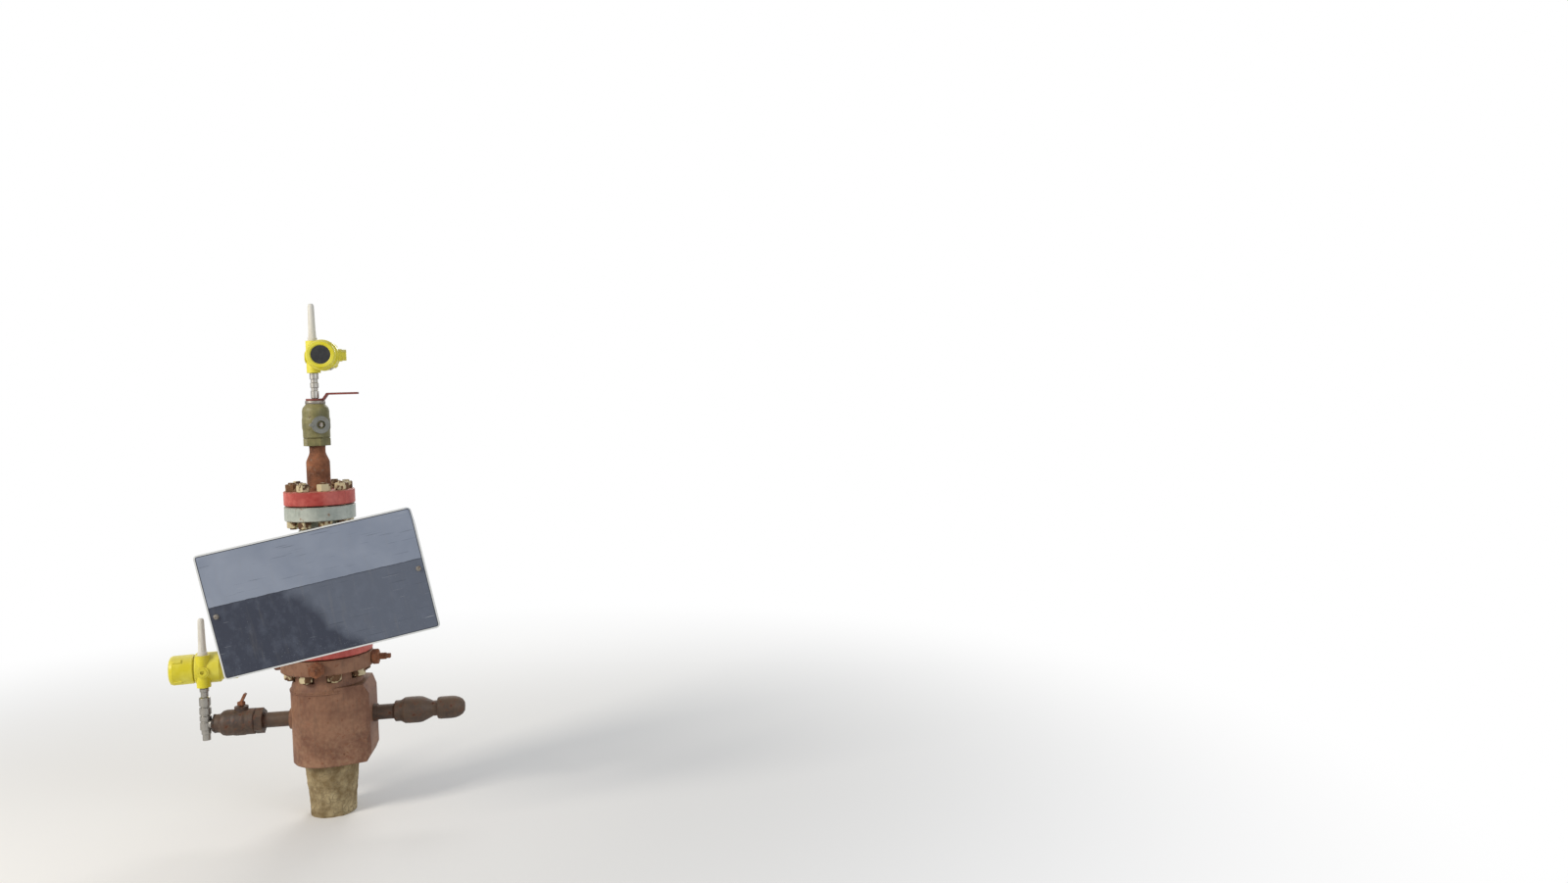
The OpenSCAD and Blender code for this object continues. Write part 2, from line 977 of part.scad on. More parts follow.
// right-hand valve, a swelling body between two tapered ends
module right_valve() {
    l = side_valve_length;
    color("saddlebrown")
    translate([right_valve_x, 0, outlet_z])
    along_x()
    difference() {
        rotate_extrude()
        polygon([
            [0, 0], [39, 0], [42, 3], [42, 22], [46, 30], [52, 40], [53, 60], [53, l - 76],
            [51, l - 60], [44, l - 44], [36, l - 28], [31, l - 18], [31, l], [0, l]
        ]);
        translate([0, 0, -1])
        cylinder(r = pipe_r, h = 31);
        translate([0, 0, l - 30])
        cylinder(r = 24, h = 31);
    }
}

// round-nosed plug that closes the right outlet
module right_bull_plug() {
    x0 = right_valve_x + side_valve_length;
    l = bull_tip - x0;
    color("saddlebrown")
    translate([x0, 0, outlet_z])
    along_x()
    rotate_extrude()
    polygon([
        [0, -30], [24, -30], [24, 0], [40, 0], [43, 3], [45, 12], [45, l - 52], [43, l - 36],
        [38, l - 22], [30, l - 10], [18, l - 2], [0, l]
    ]);
}

// the sign's own plane: origin at its middle, +Z towards the viewer, +X along its width
module sign_plane() {
    translate([sign_x, -sign_back, sign_z])
    rotate([90, 0, 0])
    rotate([0, 0, sign_roll])
    children();
}

// flat strap behind the sign, lying on the handwheel's rim
module sign_strap() {
    color("dimgray")
    sign_plane()
    difference() {
        translate([12 - sign_w / 2, -20, -strap_t])
        cube([sign_w - 24, 40, strap_t]);
        for (s = [-1, 1]) {
            translate([s * (sign_w / 2 - 26), 0, -strap_t - 1])
            cylinder(d = 9, h = strap_t + 2, $fn = 32);
        }
    }
}

// a sheet with round corners, its top right one bent back along a slanting fold
module sign_panel() {
    w = sign_w / 2;
    h = sign_h / 2;
    r = 14;
    fold = [25, 66];
    l = norm(fold);
    color("lightslategray")
    sign_plane()
    difference() {
        union() {
            linear_extrude(sign_t)
            polygon(concat(
                [for (a = [180 : 15 : 270]) [r - w + r * cos(a), r - h + r * sin(a)]],
                [for (a = [270 : 15 : 360]) [w - r + r * cos(a), r - h + r * sin(a)]],
                [[w, h - fold[1]], [w - fold[0], h]],
                [for (a = [90 : 15 : 180]) [r - w + r * cos(a), h - r + r * sin(a)]]
            ));
            translate([w, h - fold[1], sign_t])
            rotate([0, 0, atan2(fold[1], -fold[0])])
            rotate([sign_bend, 0, 0])
            translate([0, 0, -sign_t])
            linear_extrude(sign_t)
            polygon([[0, 0], [fold[1] * fold[1] / l, -fold[0] * fold[1] / l], [l, 0]]);
        }
        for (s = [-1, 1]) {
            translate([s * (w - 26), 0, -1])
            cylinder(d = 9, h = sign_t + 2, $fn = 32);
        }
    }
}

// two bolts through the sign and the strap, each with its nut behind
module sign_bolts() {
    color("silver")
    sign_plane()
    for (s = [-1, 1]) {
        translate([s * (sign_w / 2 - 26), 0, -strap_t]) {
            cylinder(d = 9, h = strap_t + sign_t, $fn = 32);
            for (z = [-7, strap_t + sign_t]) {
                translate([0, 0, z])
                cylinder(d = 14 / cos(30), h = 7, $fn = 6);
            }
        }
    }
}

surface_casing();
caked_mud();
casing_head();
lock_screws();
ring_gaskets();
lower_studs();
adapter();
middle_studs();
master_valve_body();
master_valve_bonnet();
bonnet_studs();
master_valve_yoke();
master_valve_stem();
handwheel();
top_flange();
upper_studs();
swage();
top_valve_end();
top_valve_body();
top_valve_plate();
top_valve_stem();
top_valve_lever();
gauge_bushings();
top_gauge_stem();
top_gauge_housing();
top_gauge_front();
top_gauge_glass();
top_gauge_back();
top_gauge_antenna();
left_nipple();
left_valve_end();
left_valve_body();
left_valve_stem();
left_column();
left_gauge_housing();
left_gauge_front();
left_gauge_glass();
left_gauge_back();
left_gauge_antenna();
right_nipple();
right_valve();
right_bull_plug();
sign_strap();
sign_panel();
sign_bolts();
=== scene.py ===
# %% [markdown]
# # Dressing a closed-in oil wellhead
# The solids of the wellhead come ready made, in their right places. This lesson
# gives them their looks: a camera, soft light, weathered finishes, and the small
# things that plain solids lack, such as threads, chamfered nuts, caked mud and a
# worn sign. Everything is in metres; +Z is up the well and -Y is the front.

# %% Load the solids and keep their box
import json
import math

import bmesh
import bpy
from mathutils import Matrix, Vector, noise


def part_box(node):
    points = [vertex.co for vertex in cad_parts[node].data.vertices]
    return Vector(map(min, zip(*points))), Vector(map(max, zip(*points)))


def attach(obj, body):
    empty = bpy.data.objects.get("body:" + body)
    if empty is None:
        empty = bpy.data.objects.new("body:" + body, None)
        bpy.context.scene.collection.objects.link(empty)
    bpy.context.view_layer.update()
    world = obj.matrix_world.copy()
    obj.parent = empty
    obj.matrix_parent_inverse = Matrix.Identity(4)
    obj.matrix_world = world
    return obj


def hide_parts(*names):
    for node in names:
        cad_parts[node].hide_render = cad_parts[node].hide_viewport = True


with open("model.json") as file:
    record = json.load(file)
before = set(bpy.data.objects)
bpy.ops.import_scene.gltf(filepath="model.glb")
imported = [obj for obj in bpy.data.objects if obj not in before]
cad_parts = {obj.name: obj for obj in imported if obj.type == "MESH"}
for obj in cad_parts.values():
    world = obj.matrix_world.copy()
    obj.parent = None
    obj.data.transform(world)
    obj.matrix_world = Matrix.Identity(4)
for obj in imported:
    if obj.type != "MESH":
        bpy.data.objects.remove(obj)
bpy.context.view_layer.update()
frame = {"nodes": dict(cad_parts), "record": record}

# %% [markdown]
# ## The camera
# A photograph fixes more than a direction: the nearness of the camera sets how
# much the near things grow, and a hand-held camera also tilts a little. The four
# angles and distances here were fitted to edges whose real places are known, so
# the model can be laid over the picture.

# %% Camera
EYE = Vector((1.102, -4.773, 1.661))
HEADING = math.radians(9.41)
PITCH = math.radians(2.7)
ROLL = math.radians(1.59)
LENS_MM = 26.0

forward = Vector((math.sin(HEADING) * math.cos(PITCH), math.cos(HEADING) * math.cos(PITCH), -math.sin(PITCH)))
right = Vector((math.cos(HEADING), -math.sin(HEADING), 0))
up = right.cross(forward)
tilted_right = right * math.cos(ROLL) - up * math.sin(ROLL)
tilted_up = up * math.cos(ROLL) + right * math.sin(ROLL)

camera_data = bpy.data.cameras.new("camera")
camera_data.lens = LENS_MM
camera_data.sensor_width = 36
camera = bpy.data.objects.new("camera", camera_data)
bpy.context.scene.collection.objects.link(camera)
camera.matrix_world = Matrix((
    (tilted_right.x, tilted_up.x, -forward.x, EYE.x),
    (tilted_right.y, tilted_up.y, -forward.y, EYE.y),
    (tilted_right.z, tilted_up.z, -forward.z, EYE.z),
    (0, 0, 0, 1),
))
bpy.context.scene.camera = camera
bpy.context.scene.view_settings.view_transform = "Standard"
print("camera is", round((EYE - Vector((0, 0, EYE.z))).length, 2), "m from the well")

# %% [markdown]
# ## Small helpers for materials
# Colours are picked as sRGB hex, the way a paint chart gives them, but light adds
# up in linear numbers, so one function turns one into the other. Another gives
# each node tree its own add(), which adds a shader node with its settings and
# links in a single call; a Mix node here always mixes two colours by a factor.

# %% Helpers for colours and shader nodes
# the colour sockets of a Mix node: what lies under, and what its factor lays over it
BASE, OVER = 6, 7


def linear(code):
    """Turns an sRGB hex colour into the linear RGBA that Blender's sockets take."""
    values = [int(code[i:i + 2], 16) / 255 for i in (1, 3, 5)]
    return [v / 12.92 if v <= 0.04045 else ((v + 0.055) / 1.055) ** 2.4 for v in values] + [1.0]


def per_metre(mm):
    """The Scale of a texture whose features are that many millimetres wide."""
    return 1000 / mm


def adder(tree):
    """Empties a node tree and returns the function that adds nodes to it."""
    tree.nodes.clear()

    def add(kind, inputs=None):
        """Adds a node; a node or socket among its inputs is linked, and all else is set."""
        node = tree.nodes.new("ShaderNode" + kind)
        if kind == "Mix":
            node.data_type = "RGBA"
        for key, value in (inputs or {}).items():
            if isinstance(value, bpy.types.Node):
                value = next(socket for socket in value.outputs if socket.enabled)
            if isinstance(value, bpy.types.NodeSocket):
                tree.links.new(value, node.inputs[key])
            elif isinstance(key, int) or key in node.inputs:
                node.inputs[key].default_value = value
            else:
                setattr(node, key, value)
        return node

    return add


def new_material(name):
    """An empty material, and the function that adds nodes to it."""
    material = bpy.data.materials.new(name)
    material.use_nodes = True
    return material, adder(material.node_tree)


print("mid grey is", round(linear("#808080")[0], 3), "in linear light")

# %% [markdown]
# ## Light, backdrop and floor
# A plain studio shows a part best. One large lamp from the left front plays the
# low sun, a weaker one fills the right, and an even sky does the rest. What the
# camera sees behind the object is white through Light Path, so that it doesn't
# add light of its own. The floor keeps the shadow and fades out towards the white.

# %% Sky and lamps
world = bpy.data.worlds.new("studio")
bpy.context.scene.world = world
world.use_nodes = True
add = adder(world.node_tree)
path = add("LightPath")
seen = add("Math", {"operation": "MAXIMUM", 0: path.outputs["Is Camera Ray"],
                    1: path.outputs["Is Glossy Ray"]})
seen = add("Math", {"operation": "MAXIMUM", 0: seen, 1: path.outputs["Is Transmission Ray"]})
glow = add("Background", {"Color": linear("#ffffff"), "Strength": 1.0})
ambient = add("Background", {"Color": linear("#f2f5fa"), "Strength": 0.42})
both = add("MixShader", {0: seen, 1: ambient, 2: glow})
add("OutputWorld", {"Surface": both})


def lamp(name, place, size, power, colour):
    """A square area lamp that looks at the middle of the wellhead."""
    data = bpy.data.lights.new(name, "AREA")
    data.size, data.energy, data.color = size, power, linear(colour)[:3]
    obj = bpy.data.objects.new(name, data)
    obj.location = place
    obj.rotation_euler = (Vector((0, 0, 1.0)) - Vector(place)).to_track_quat("-Z", "Y").to_euler()
    bpy.context.scene.collection.objects.link(obj)


lamp("key", (-3.6, -2.6, 3.4), 1.6, 170, "#fff8ee")
lamp("fill", (3.8, -3.2, 2.4), 2.6, 50, "#f2f6ff")
lamp("rim", (0.5, 4.0, 3.2), 2.4, 80, "#ffffff")

# %% Floor
FLOOR_RADIUS, FLOOR_SIDES = 12, 96
floor_mesh = bpy.data.meshes.new("floor")
corners = [(FLOOR_RADIUS * math.cos(a), FLOOR_RADIUS * math.sin(a), 0)
           for a in [2 * math.pi * i / FLOOR_SIDES for i in range(FLOOR_SIDES)]]
floor_mesh.from_pydata(corners, [], [range(FLOOR_SIDES)])
floor = bpy.data.objects.new("floor", floor_mesh)
bpy.context.scene.collection.objects.link(floor)

# smooth pale studio floor: matt, so it keeps a soft shadow and no mirror image
floor_paint, add = new_material("matt_studio_floor")
where = add("TexCoord").outputs["Object"]
far = add("VectorMath", {"operation": "LENGTH", 0: where})
fade = add("MapRange", {"interpolation_type": "SMOOTHSTEP", "Value": far, "From Min": 1.2, "From Max": 4.5})
path = add("LightPath")
fade = add("Math", {"operation": "MULTIPLY", 0: fade, 1: path.outputs["Is Camera Ray"]})
matt = add("BsdfDiffuse", {"Color": linear("#eeedea")})
white = add("Emission", {"Color": linear("#ffffff"), "Strength": 1.0})
both = add("MixShader", {0: fade, 1: matt, 2: white})
add("OutputMaterial", {"Surface": both})
floor_mesh.materials.append(floor_paint)
print("floor reaches", FLOOR_RADIUS, "m")

# %% [markdown]
# ## Weathered paint on steel
# Most of the wellhead is painted cast or forged steel that has stood outdoors for
# years. The paint has bleached in broad patches, dirt has run down it, dust lies on
# what faces up, and rust breaks through in spots and along edges. One function
# layers these from the bottom up, because every coat here ages the same way; each
# coat then says how much of each it has. Wear along edges comes from the Bevel node:
# where the rounded normal leaves the true one, there is an edge.

# %% Weathered paint
def weathered_paint(name, coat, bleached, rust_core, rust_stain, rusting, edge_wear, grime, gloss,
                    dust="#b9a684"):
    """Old paint on steel; rusting, edge_wear and grime go from 0, none, to 1, everywhere."""
    material, add = new_material(name)
    where = add("TexCoord").outputs["Object"]
    facing = add("TexCoord").outputs["Normal"]

    # bleaching: patches about a hand wide, broken up by finer mottling
    broad = add("TexNoise", {"Vector": where, "Scale": per_metre(110), "Detail": 4.0})
    fine = add("TexNoise", {"Vector": where, "Scale": per_metre(14), "Detail": 6.0})
    patches = add("Math", {"operation": "MULTIPLY_ADD", 0: fine, 1: 0.35, 2: broad})
    patches = add("MapRange", {"Value": patches, "From Min": 0.52, "From Max": 0.84})
    colour = add("Mix", {0: patches, BASE: linear(coat), OVER: linear(bleached)})

    # grime in streaks 9 mm wide that run down the sides, only where water came down
    down = add("Mapping", {"Vector": where, "Scale": (per_metre(9), per_metre(9), per_metre(260))})
    streaks = add("TexNoise", {"Vector": down, "Scale": 1.0, "Detail": 6.0, "Roughness": 0.6})
    streaks = add("MapRange", {"Value": streaks, "From Min": 0.50, "From Max": 0.78, "To Max": grime})
    wetted = add("TexNoise", {"Vector": where, "Scale": per_metre(70), "Detail": 2.0, "Lacunarity": 2.6})
    wetted = add("MapRange", {"Value": wetted, "From Min": 0.42, "From Max": 0.62})
    streaks = add("Math", {"operation": "MULTIPLY", 0: streaks, 1: wetted})
    colour = add("Mix", {0: streaks, BASE: colour, OVER: linear("#43362a")})

    # mud that rain splashed up from the ground, thinning out at 0.5 m
    height = add("SeparateXYZ", {0: where})
    low = add("MapRange", {"Value": height.outputs["Z"], "From Min": 0.5, "From Max": 0.15, "To Min": 0.0,
                           "To Max": 0.55})
    drops = add("TexNoise", {"Vector": where, "Scale": per_metre(16), "Detail": 8.0, "Roughness": 0.6})
    drops = add("MapRange", {"Value": drops, "From Min": 0.48, "From Max": 0.66})
    splash = add("Math", {"operation": "MULTIPLY", 0: drops, 1: low})
    colour = add("Mix", {0: splash, BASE: colour, OVER: linear(dust)})

    # dust on what faces up
    upward = add("SeparateXYZ", {0: facing})
    resting = add("MapRange", {"Value": upward.outputs["Z"], "From Min": 0.35, "From Max": 1.0,
                               "To Max": 0.55})
    resting = add("Math", {"operation": "MULTIPLY", 0: resting, 1: broad})
    colour = add("Mix", {0: resting, BASE: colour, OVER: linear(dust)})

    # worn edges, about 2.5 mm wide and ragged
    rounded = add("Bevel", {"samples": 4, "Radius": 0.0025})
    true_normal = add("NewGeometry").outputs["Normal"]
    same = add("VectorMath", {"operation": "DOT_PRODUCT", 0: rounded, 1: true_normal})
    edge = add("MapRange", {"Value": same, "From Min": 0.995, "From Max": 0.86, "To Max": edge_wear})

    # rust: the edges and the spots together decide how deep it is
    spots = add("TexNoise", {"Vector": where, "Scale": per_metre(22), "Detail": 9.0, "Roughness": 0.65})
    depth = add("Math", {"operation": "MULTIPLY_ADD", 0: edge, 1: 0.42, 2: spots})
    threshold = 0.80 - 0.34 * rusting
    stain = add("MapRange", {"Value": depth, "From Min": threshold - 0.07, "From Max": threshold + 0.03,
                             "To Max": 0.85})
    core = add("MapRange", {"Value": depth, "From Min": threshold, "From Max": threshold + 0.05})
    colour = add("Mix", {0: stain, BASE: colour, OVER: linear(rust_stain)})
    colour = add("Mix", {0: core, BASE: colour, OVER: linear(rust_core)})

    # paint shines a little, rust and dust don't
    dull = add("Math", {"operation": "MAXIMUM", 0: core, 1: resting})
    roughness = add("MapRange", {"Value": dull, "To Min": gloss, "To Max": 0.92})

    # brush marks and casting grain of 3 mm, and the coat's thickness at each rust spot
    grain = add("TexNoise", {"Vector": where, "Scale": per_metre(3), "Detail": 3.0})
    relief = add("Math", {"operation": "MULTIPLY_ADD", 0: core, 1: -0.9, 2: grain})
    bump = add("Bump", {"Height": relief, "Normal": rounded, "Strength": 0.35, "Distance": 0.0008})
    shader = add("BsdfPrincipled", {"Base Color": colour, "Normal": bump, "IOR": 1.5,
                                    "Roughness": roughness})
    add("OutputMaterial", {"Surface": shader})
    return material


# %% [markdown]
# ### The eight coats
# Red-oxide primer on the casing head has gone brown and chalky. The adapter and the
# top flange wear a faded signal red, the gate valve a pale grey-green. The handwheel
# and the loose lever have darker reds. The small top valve is olive with bare
# patches, and its plate grey. The side runs are so old that dark varnish and brown
# rust are hard to tell apart.

# %% Coats of the stack
oxide_paint = weathered_paint("red_oxide_primer", "#6a4430", "#91694f", "#44291b", "#7f4d30",
                              rusting=0.46, edge_wear=0.7, grime=0.6, gloss=0.62, dust="#a18162")
red_paint = weathered_paint("faded_red_enamel", "#a5372f", "#cb675b", "#54301f", "#8c4a2e",
                            rusting=0.32, edge_wear=0.8, grime=0.5, gloss=0.48)
grey_paint = weathered_paint("faded_grey_enamel", "#a0a89e", "#c6cbc0", "#5a3a26", "#94724f",
                             rusting=0.36, edge_wear=0.9, grime=0.6, gloss=0.5)
olive_paint = weathered_paint("faded_olive_enamel", "#646036", "#8d8656", "#43341f", "#75633e",
                              rusting=0.44, edge_wear=0.9, grime=0.7, gloss=0.5, dust="#958a62")
wheel_paint = weathered_paint("worn_red_enamel", "#8e2f28", "#a94a3e", "#4c2c1d", "#7c4128",
                              rusting=0.45, edge_wear=1.0, grime=0.4, gloss=0.45)
lever_paint = weathered_paint("dark_red_enamel", "#6e2620", "#83382e", "#43261b", "#6d3a27",
                              rusting=0.40, edge_wear=0.9, grime=0.5, gloss=0.5)
brown_pipe = weathered_paint("black_pipe_varnish", "#35261f", "#54402f", "#4e2e1d", "#65402a",
                             rusting=0.58, edge_wear=0.6, grime=0.5, gloss=0.55, dust="#6e5740")
plate_steel = weathered_paint("worn_grey_primer", "#6f7068", "#8f9086", "#4d3a2b", "#77624c",
                              rusting=0.40, edge_wear=1.0, grime=0.5, gloss=0.5)
coats = [oxide_paint, red_paint, grey_paint, olive_paint, wheel_paint, lever_paint, brown_pipe, plate_steel]
print("coats:", [coat.name for coat in coats])

# %% [markdown]
# ## Rusted steel
# Bare carbon steel outdoors turns into a crust: dark brown where it is dense, orange
# where it is young, with pits about 4 mm across. It is no metal to the eye any more,
# so Metallic stays at 0. Leftovers of an old coat or of zinc lie on it in patches.

# %% Rusted steel
def rusted_steel_finish(name, dense, young, leftover, leftover_share, patch_mm=13):
    """A rust crust in two browns; leftover_share goes from 0, few patches, to 1, nearly all."""
    material, add = new_material(name)
    where = add("TexCoord").outputs["Object"]
    broad = add("TexNoise", {"Vector": where, "Scale": per_metre(45), "Detail": 6.0, "Roughness": 0.6})
    crust = add("TexNoise", {"Vector": where, "Scale": per_metre(4), "Detail": 8.0, "Roughness": 0.7})
    blend = add("Math", {"operation": "MULTIPLY_ADD", 0: crust, 1: 0.6, 2: broad})
    blend = add("MapRange", {"Value": blend, "From Min": 0.62, "From Max": 0.98})
    colour = add("Mix", {0: blend, BASE: linear(dense), OVER: linear(young)})
    flakes = add("TexNoise", {"Vector": where, "Scale": per_metre(patch_mm), "Detail": 7.0,
                              "Lacunarity": 2.3})
    flakes = add("MapRange", {"Value": flakes, "From Min": 0.70 - 0.3 * leftover_share,
                              "From Max": 0.74 - 0.3 * leftover_share})
    colour = add("Mix", {0: flakes, BASE: colour, OVER: linear(leftover)})
    roughness = add("MapRange", {"Value": flakes, "To Min": 0.88, "To Max": 0.55})
    rounded = add("Bevel", {"samples": 4, "Radius": 0.0012})
    bump = add("Bump", {"Height": crust, "Normal": rounded, "Strength": 0.5, "Distance": 0.0012})
    shader = add("BsdfPrincipled", {"Base Color": colour, "Normal": bump, "Roughness": roughness})
    add("OutputMaterial", {"Surface": shader})
    return material


rusted_steel = rusted_steel_finish("rusted_carbon_steel", "#5a3724", "#9a6242", "#7d5c45", 0.3)
stud_steel = rusted_steel_finish("rusted_zinc_plated_steel", "#4d3422", "#7f5c3c", "#ccbd96", 0.68,
                                 patch_mm=34)
casing_steel = rusted_steel_finish("rusted_casing_pipe", "#4f3524", "#7d5638", "#8b7452", 0.4)
bushing_iron = rusted_steel_finish("black_malleable_iron", "#2c241f", "#4d3526", "#3a332d", 0.5)
print("rusty finishes:", [steel.name for steel in (rusted_steel, stud_steel, casing_steel, bushing_iron)])

# %% [markdown]
# ## Bare and stainless steel
# The gauges' fittings are turned from stainless bar. A lathe leaves rings about
# 0.2 mm apart; here they are drawn 5 mm apart so that they can be seen at all. The
# metal reflects its surroundings, so most of the look is in the roughness, which dirt
# and finger marks change from place to place.

# %% Stainless and bare steel
def turned_steel(name, metal, stained, stain_share, smooth, dull):
    """Machined steel with turning rings along Z and brown stains."""
    material, add = new_material(name)
    where = add("TexCoord").outputs["Object"]
    smudges = add("TexNoise", {"Vector": where, "Scale": per_metre(30), "Detail": 6.0})
    stains = add("TexNoise", {"Vector": where, "Scale": per_metre(9), "Detail": 8.0, "Roughness": 0.6})
    stains = add("MapRange", {"Value": stains, "From Min": 0.72 - 0.3 * stain_share,
                              "From Max": 0.86 - 0.3 * stain_share, "To Max": 0.8})
    colour = add("Mix", {0: stains, BASE: linear(metal), OVER: linear(stained)})
    roughness = add("MapRange", {"Value": smudges, "From Min": 0.3, "From Max": 0.7, "To Min": smooth,
                                 "To Max": dull})
    metallic = add("MapRange", {"Value": stains, "To Min": 1.0, "To Max": 0.3})
    # a band texture of Scale 1 repeats every 0.314 m, so 62.5 makes rings 5 mm apart
    rings = add("TexWave", {"wave_type": "BANDS", "bands_direction": "Z", "Vector": where, "Scale": 62.5,
                            "Distortion": 0.4})
    rounded = add("Bevel", {"samples": 4, "Radius": 0.0008})
    bump = add("Bump", {"Height": rings.outputs["Fac"], "Normal": rounded, "Strength": 0.12,
                        "Distance": 0.0002})
    shader = add("BsdfPrincipled", {"Base Color": colour, "Normal": bump, "Metallic": metallic,
                                    "Roughness": roughness})
    add("OutputMaterial", {"Surface": shader})
    return material


stainless = turned_steel("turned_stainless_steel", "#a19e98", "#6e5f4d", 0.45, smooth=0.26, dull=0.5)
bare_steel = turned_steel("worn_carbon_steel", "#8b867f", "#6b4a33", 0.62, smooth=0.34, dull=0.62)
ring_steel = turned_steel("soft_iron_gasket", "#7d7972", "#6a4b35", 0.7, smooth=0.42, dull=0.7)

# %% [markdown]
# ## Powder-coated gauges, antenna and window
# The two wireless gauges are aluminium castings with a hard, glossy yellow powder
# coat. Powder melts into a skin with a faint orange-peel of about 2 mm, which breaks
# up reflections. Sun has chalked it a little and dust sticks on top. The antenna's
# sleeve is matt plastic, and the window is thick glass over a display that is off.

# %% Powder coat
yellow_paint, add = new_material("yellow_powder_coat")
where = add("TexCoord").outputs["Object"]
facing = add("TexCoord").outputs["Normal"]
chalk = add("TexNoise", {"Vector": where, "Scale": per_metre(60), "Detail": 5.0})
chalk = add("MapRange", {"Value": chalk, "From Min": 0.4, "From Max": 0.7})
colour = add("Mix", {0: chalk, BASE: linear("#d9cc1f"), OVER: linear("#e6dd55")})
specks = add("TexNoise", {"Vector": where, "Scale": per_metre(7), "Detail": 8.0, "Roughness": 0.65})
specks = add("MapRange", {"Value": specks, "From Min": 0.64, "From Max": 0.72, "To Max": 0.6})
colour = add("Mix", {0: specks, BASE: colour, OVER: linear("#6d6526")})
rounded = add("Bevel", {"samples": 4, "Radius": 0.0018})
true_normal = add("NewGeometry").outputs["Normal"]
same = add("VectorMath", {"operation": "DOT_PRODUCT", 0: rounded, 1: true_normal})
chips = add("MapRange", {"Value": same, "From Min": 0.99, "From Max": 0.8, "To Max": 0.5})
chips = add("Math", {"operation": "MULTIPLY", 0: chips, 1: chalk})
colour = add("Mix", {0: chips, BASE: colour, OVER: linear("#8d8a63")})
upward = add("SeparateXYZ", {0: facing})
dusty = add("MapRange", {"Value": upward.outputs["Z"], "From Min": 0.5, "From Max": 1.0, "To Max": 0.3})
colour = add("Mix", {0: dusty, BASE: colour, OVER: linear("#cfc39a")})
roughness = add("MapRange", {"Value": chalk, "To Min": 0.36, "To Max": 0.58})
peel = add("TexNoise", {"Vector": where, "Scale": per_metre(2), "Detail": 1.0})
bump = add("Bump", {"Height": peel, "Normal": rounded, "Strength": 0.1, "Distance": 0.0004})
shader = add("BsdfPrincipled", {"Base Color": colour, "Normal": bump, "IOR": 1.5, "Roughness": roughness})
add("OutputMaterial", {"Surface": shader})

# %% Antenna sleeve
antenna_plastic, add = new_material("weathered_acetal_sleeve")
where = add("TexCoord").outputs["Object"]
down = add("Mapping", {"Vector": where, "Scale": (per_metre(8), per_metre(8), per_metre(70))})
smears = add("TexNoise", {"Vector": down, "Scale": 1.0, "Detail": 6.0})
smears = add("MapRange", {"Value": smears, "From Min": 0.5, "From Max": 0.8, "To Max": 0.6})
colour = add("Mix", {0: smears, BASE: linear("#dcd9cf"), OVER: linear("#a99d84")})
grain = add("TexNoise", {"Vector": where, "Scale": per_metre(1.2), "Detail": 2.0})
bump = add("Bump", {"Height": grain, "Strength": 0.12, "Distance": 0.0003})
shader = add("BsdfPrincipled", {"Base Color": colour, "Normal": bump, "IOR": 1.48, "Roughness": 0.55})
add("OutputMaterial", {"Surface": shader})

# %% Dark window
# thick glass over a black display: it shines, and a film of dust dulls it in patches
dark_glass, add = new_material("dusty_display_glass")
where = add("TexCoord").outputs["Object"]
film = add("TexNoise", {"Vector": where, "Scale": per_metre(18), "Detail": 7.0})
film = add("MapRange", {"Value": film, "From Min": 0.45, "From Max": 0.75})
colour = add("Mix", {0: film, BASE: linear("#0b0d12"), OVER: linear("#2a2b2c")})
roughness = add("MapRange", {"Value": film, "To Min": 0.05, "To Max": 0.35})
shader = add("BsdfPrincipled", {"Base Color": colour, "IOR": 1.52, "Roughness": roughness})
add("OutputMaterial", {"Surface": shader})
print("gauge finishes:", yellow_paint.name, antenna_plastic.name, dark_glass.name)

# %% [markdown]
# ## Caked mud and cement
# Drilling mud and cement slopped over the casing and dried to a pale, cracked crust.
# The large lumps are real shape and come later in the mesh; the finish adds what is
# smaller: grains of 2.5 mm, dry patches paler than the damp ones, and shrinkage
# cracks 28 mm apart where it is dry.

# %% Mud finish
caked_mud, add = new_material("dried_mud_and_cement")
where = add("TexCoord").outputs["Object"]
dry = add("TexNoise", {"Vector": where, "Scale": per_metre(55), "Detail": 6.0, "Roughness": 0.6})
dry = add("MapRange", {"Value": dry, "From Min": 0.38, "From Max": 0.66})
colour = add("Mix", {0: dry, BASE: linear("#7d6a49"), OVER: linear("#bba982")})
grains = add("TexNoise", {"Vector": where, "Scale": per_metre(2.5), "Detail": 5.0, "Roughness": 0.7})
specks = add("MapRange", {"Value": grains, "From Min": 0.56, "From Max": 0.7, "To Max": 0.6})
colour = add("Mix", {0: specks, BASE: colour, OVER: linear("#55452f")})
bent = add("VectorMath", {"operation": "MULTIPLY_ADD", 0: dry, 1: (0.03, 0.03, 0.03), 2: where})
cracks = add("TexVoronoi", {"feature": "DISTANCE_TO_EDGE", "Vector": bent, "Scale": per_metre(28)})
cracks = add("MapRange", {"Value": cracks, "From Min": 0.0, "From Max": 0.05, "To Min": 1.0, "To Max": 0.0})
cracks = add("Math", {"operation": "MULTIPLY", 0: cracks, 1: dry})
colour = add("Mix", {0: cracks, BASE: colour, OVER: linear("#5c4b33")})
relief = add("Math", {"operation": "MULTIPLY_ADD", 0: cracks, 1: -1.2, 2: grains})
bump = add("Bump", {"Height": relief, "Strength": 0.7, "Distance": 0.002})
shader = add("BsdfPrincipled", {"Base Color": colour, "Normal": bump, "Roughness": 0.95, "IOR": 1.45})
add("OutputMaterial", {"Surface": shader})

